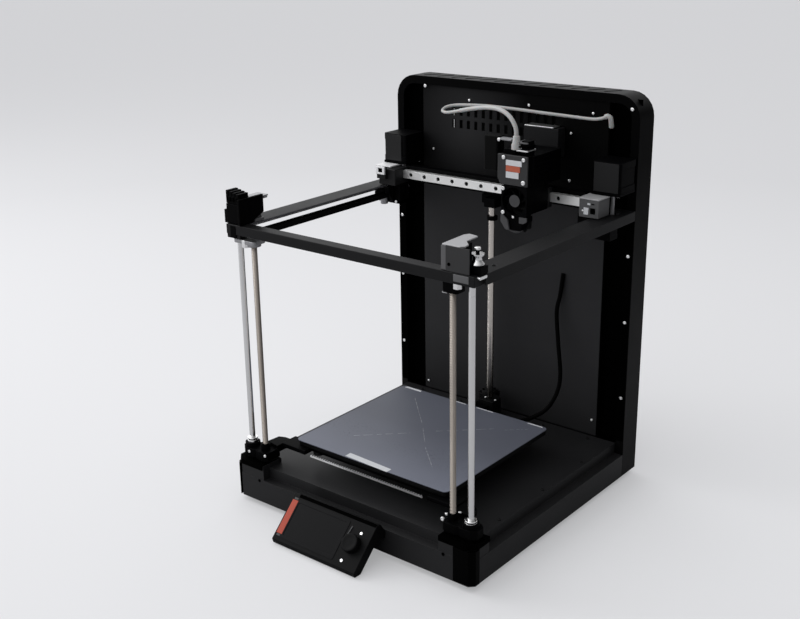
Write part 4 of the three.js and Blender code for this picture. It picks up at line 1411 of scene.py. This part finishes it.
def build_belts():
    """Each side's belt runs round its motor's pulley, under the beam; two more cross behind the X beam."""
    for side, sign in SIDES:
        x, y = middle(f"xy_pulley_{side}")
        for name, place, end, bodies in (("inner", -sign * 6.4, 100, ("frame", "gantry")),
                                         ("outer", sign * 6.4, y, ("frame",))):
            belt_run(f"belt_{side}_{name}", (x + place, -176), (x + place, end), BELT_LEVEL, bodies)
    back = box("x_beam")[1].y + 3
    for name, z in (("lower", 406), ("upper", 415)):
        belt_run(f"belt_across_{name}", (-150, back), (150, back), z, ("gantry",))


# ------------------------------------------------------------------ stage

def build_stage():
    floor = bpy.data.meshes.new("floor")
    reach = 30
    floor.from_pydata([(-reach, -reach, 0), (reach, -reach, 0), (reach, reach, 0), (-reach, reach, 0)], [],
                      [(0, 1, 2, 3)])
    ground = bpy.data.objects.new("floor", floor)
    bpy.context.scene.collection.objects.link(ground)
    finish = Finish("studio_floor", None, (0.44, 0.44, 0.45), 0.9, gloss=0.0)
    finish.set("Emission Color", (0.98, 0.985, 1.0, 1))
    # the floor's own glow, stronger near the printer, is seen but throws no light on it
    away = finish.vector("LENGTH", finish.surface("Position")).outputs["Value"]
    seen = finish.node("ShaderNodeLightPath").outputs["Is Camera Ray"]
    finish.set("Emission Strength", finish.sum("MULTIPLY", finish.remap(away, 0.5, 2.2, 0.318, 0.225), seen))
    floor.materials.append(finish.material)


def build_sky():
    """A soft sky that is bright on the left and dark on the right."""
    world = bpy.data.worlds.new("studio")
    bpy.context.scene.world = world
    world.use_nodes = True
    sky = Nodes(world.node_tree)
    background = world.node_tree.nodes["Background"]
    sky.feed(background.inputs["Color"], (0.98, 0.985, 1.0, 1))
    place = sky.node("ShaderNodeTexCoord").outputs["Generated"]
    toward = sky.vector("DOT_PRODUCT", place, (-0.9, -0.3, 0.3)).outputs["Value"]
    level = sky.sum("MAXIMUM", sky.sum("MULTIPLY_ADD", toward, 0.82, 0.82), 0.05)
    sky.feed(background.inputs["Strength"], level)


def soft_light(name, place, target, size, power):
    data = bpy.data.lights.new(name, "AREA")
    data.shape = "RECTANGLE"
    data.size, data.size_y = size
    data.energy = power
    lamp = bpy.data.objects.new(name, data)
    lamp.location = place
    lamp.rotation_euler = (Vector(target) - Vector(place)).to_track_quat("-Z", "Y").to_euler()
    bpy.context.scene.collection.objects.link(lamp)


def build_lights():
    soft_light("key", (-2.2, -0.6, 1.6), (-1.2, 0.3, 0.0), (1.6, 1.6), 22)


def build_camera():
    place = Vector((0.9001, -1.1885, 0.7813)) + CENTRE * MM
    yaw, pitch, roll = math.radians(39.25), math.radians(19.09), math.radians(-0.92)
    ahead = Vector((-math.sin(yaw) * math.cos(pitch), math.cos(yaw) * math.cos(pitch), -math.sin(pitch)))
    turn = ahead.to_track_quat("-Z", "Y").to_matrix() @ Matrix.Rotation(roll, 3, "Z")
    data = bpy.data.cameras.new("camera")
    data.lens = 52.1
    data.sensor_width = 36
    camera = bpy.data.objects.new("camera", data)
    camera.matrix_world = Matrix.Translation(place) @ turn.to_4x4()
    bpy.context.scene.collection.objects.link(camera)
    bpy.context.scene.camera = camera
    bpy.context.scene.view_settings.view_transform = "Standard"


for build in (build_base, build_display, build_rear_box, build_upper_frame, build_idler_brackets,
              build_drives, build_lift, build_bed, build_gantry, build_toolhead, build_tubes,
              build_wall_cable, build_belts, build_stage, build_sky, build_lights, build_camera):
    build()
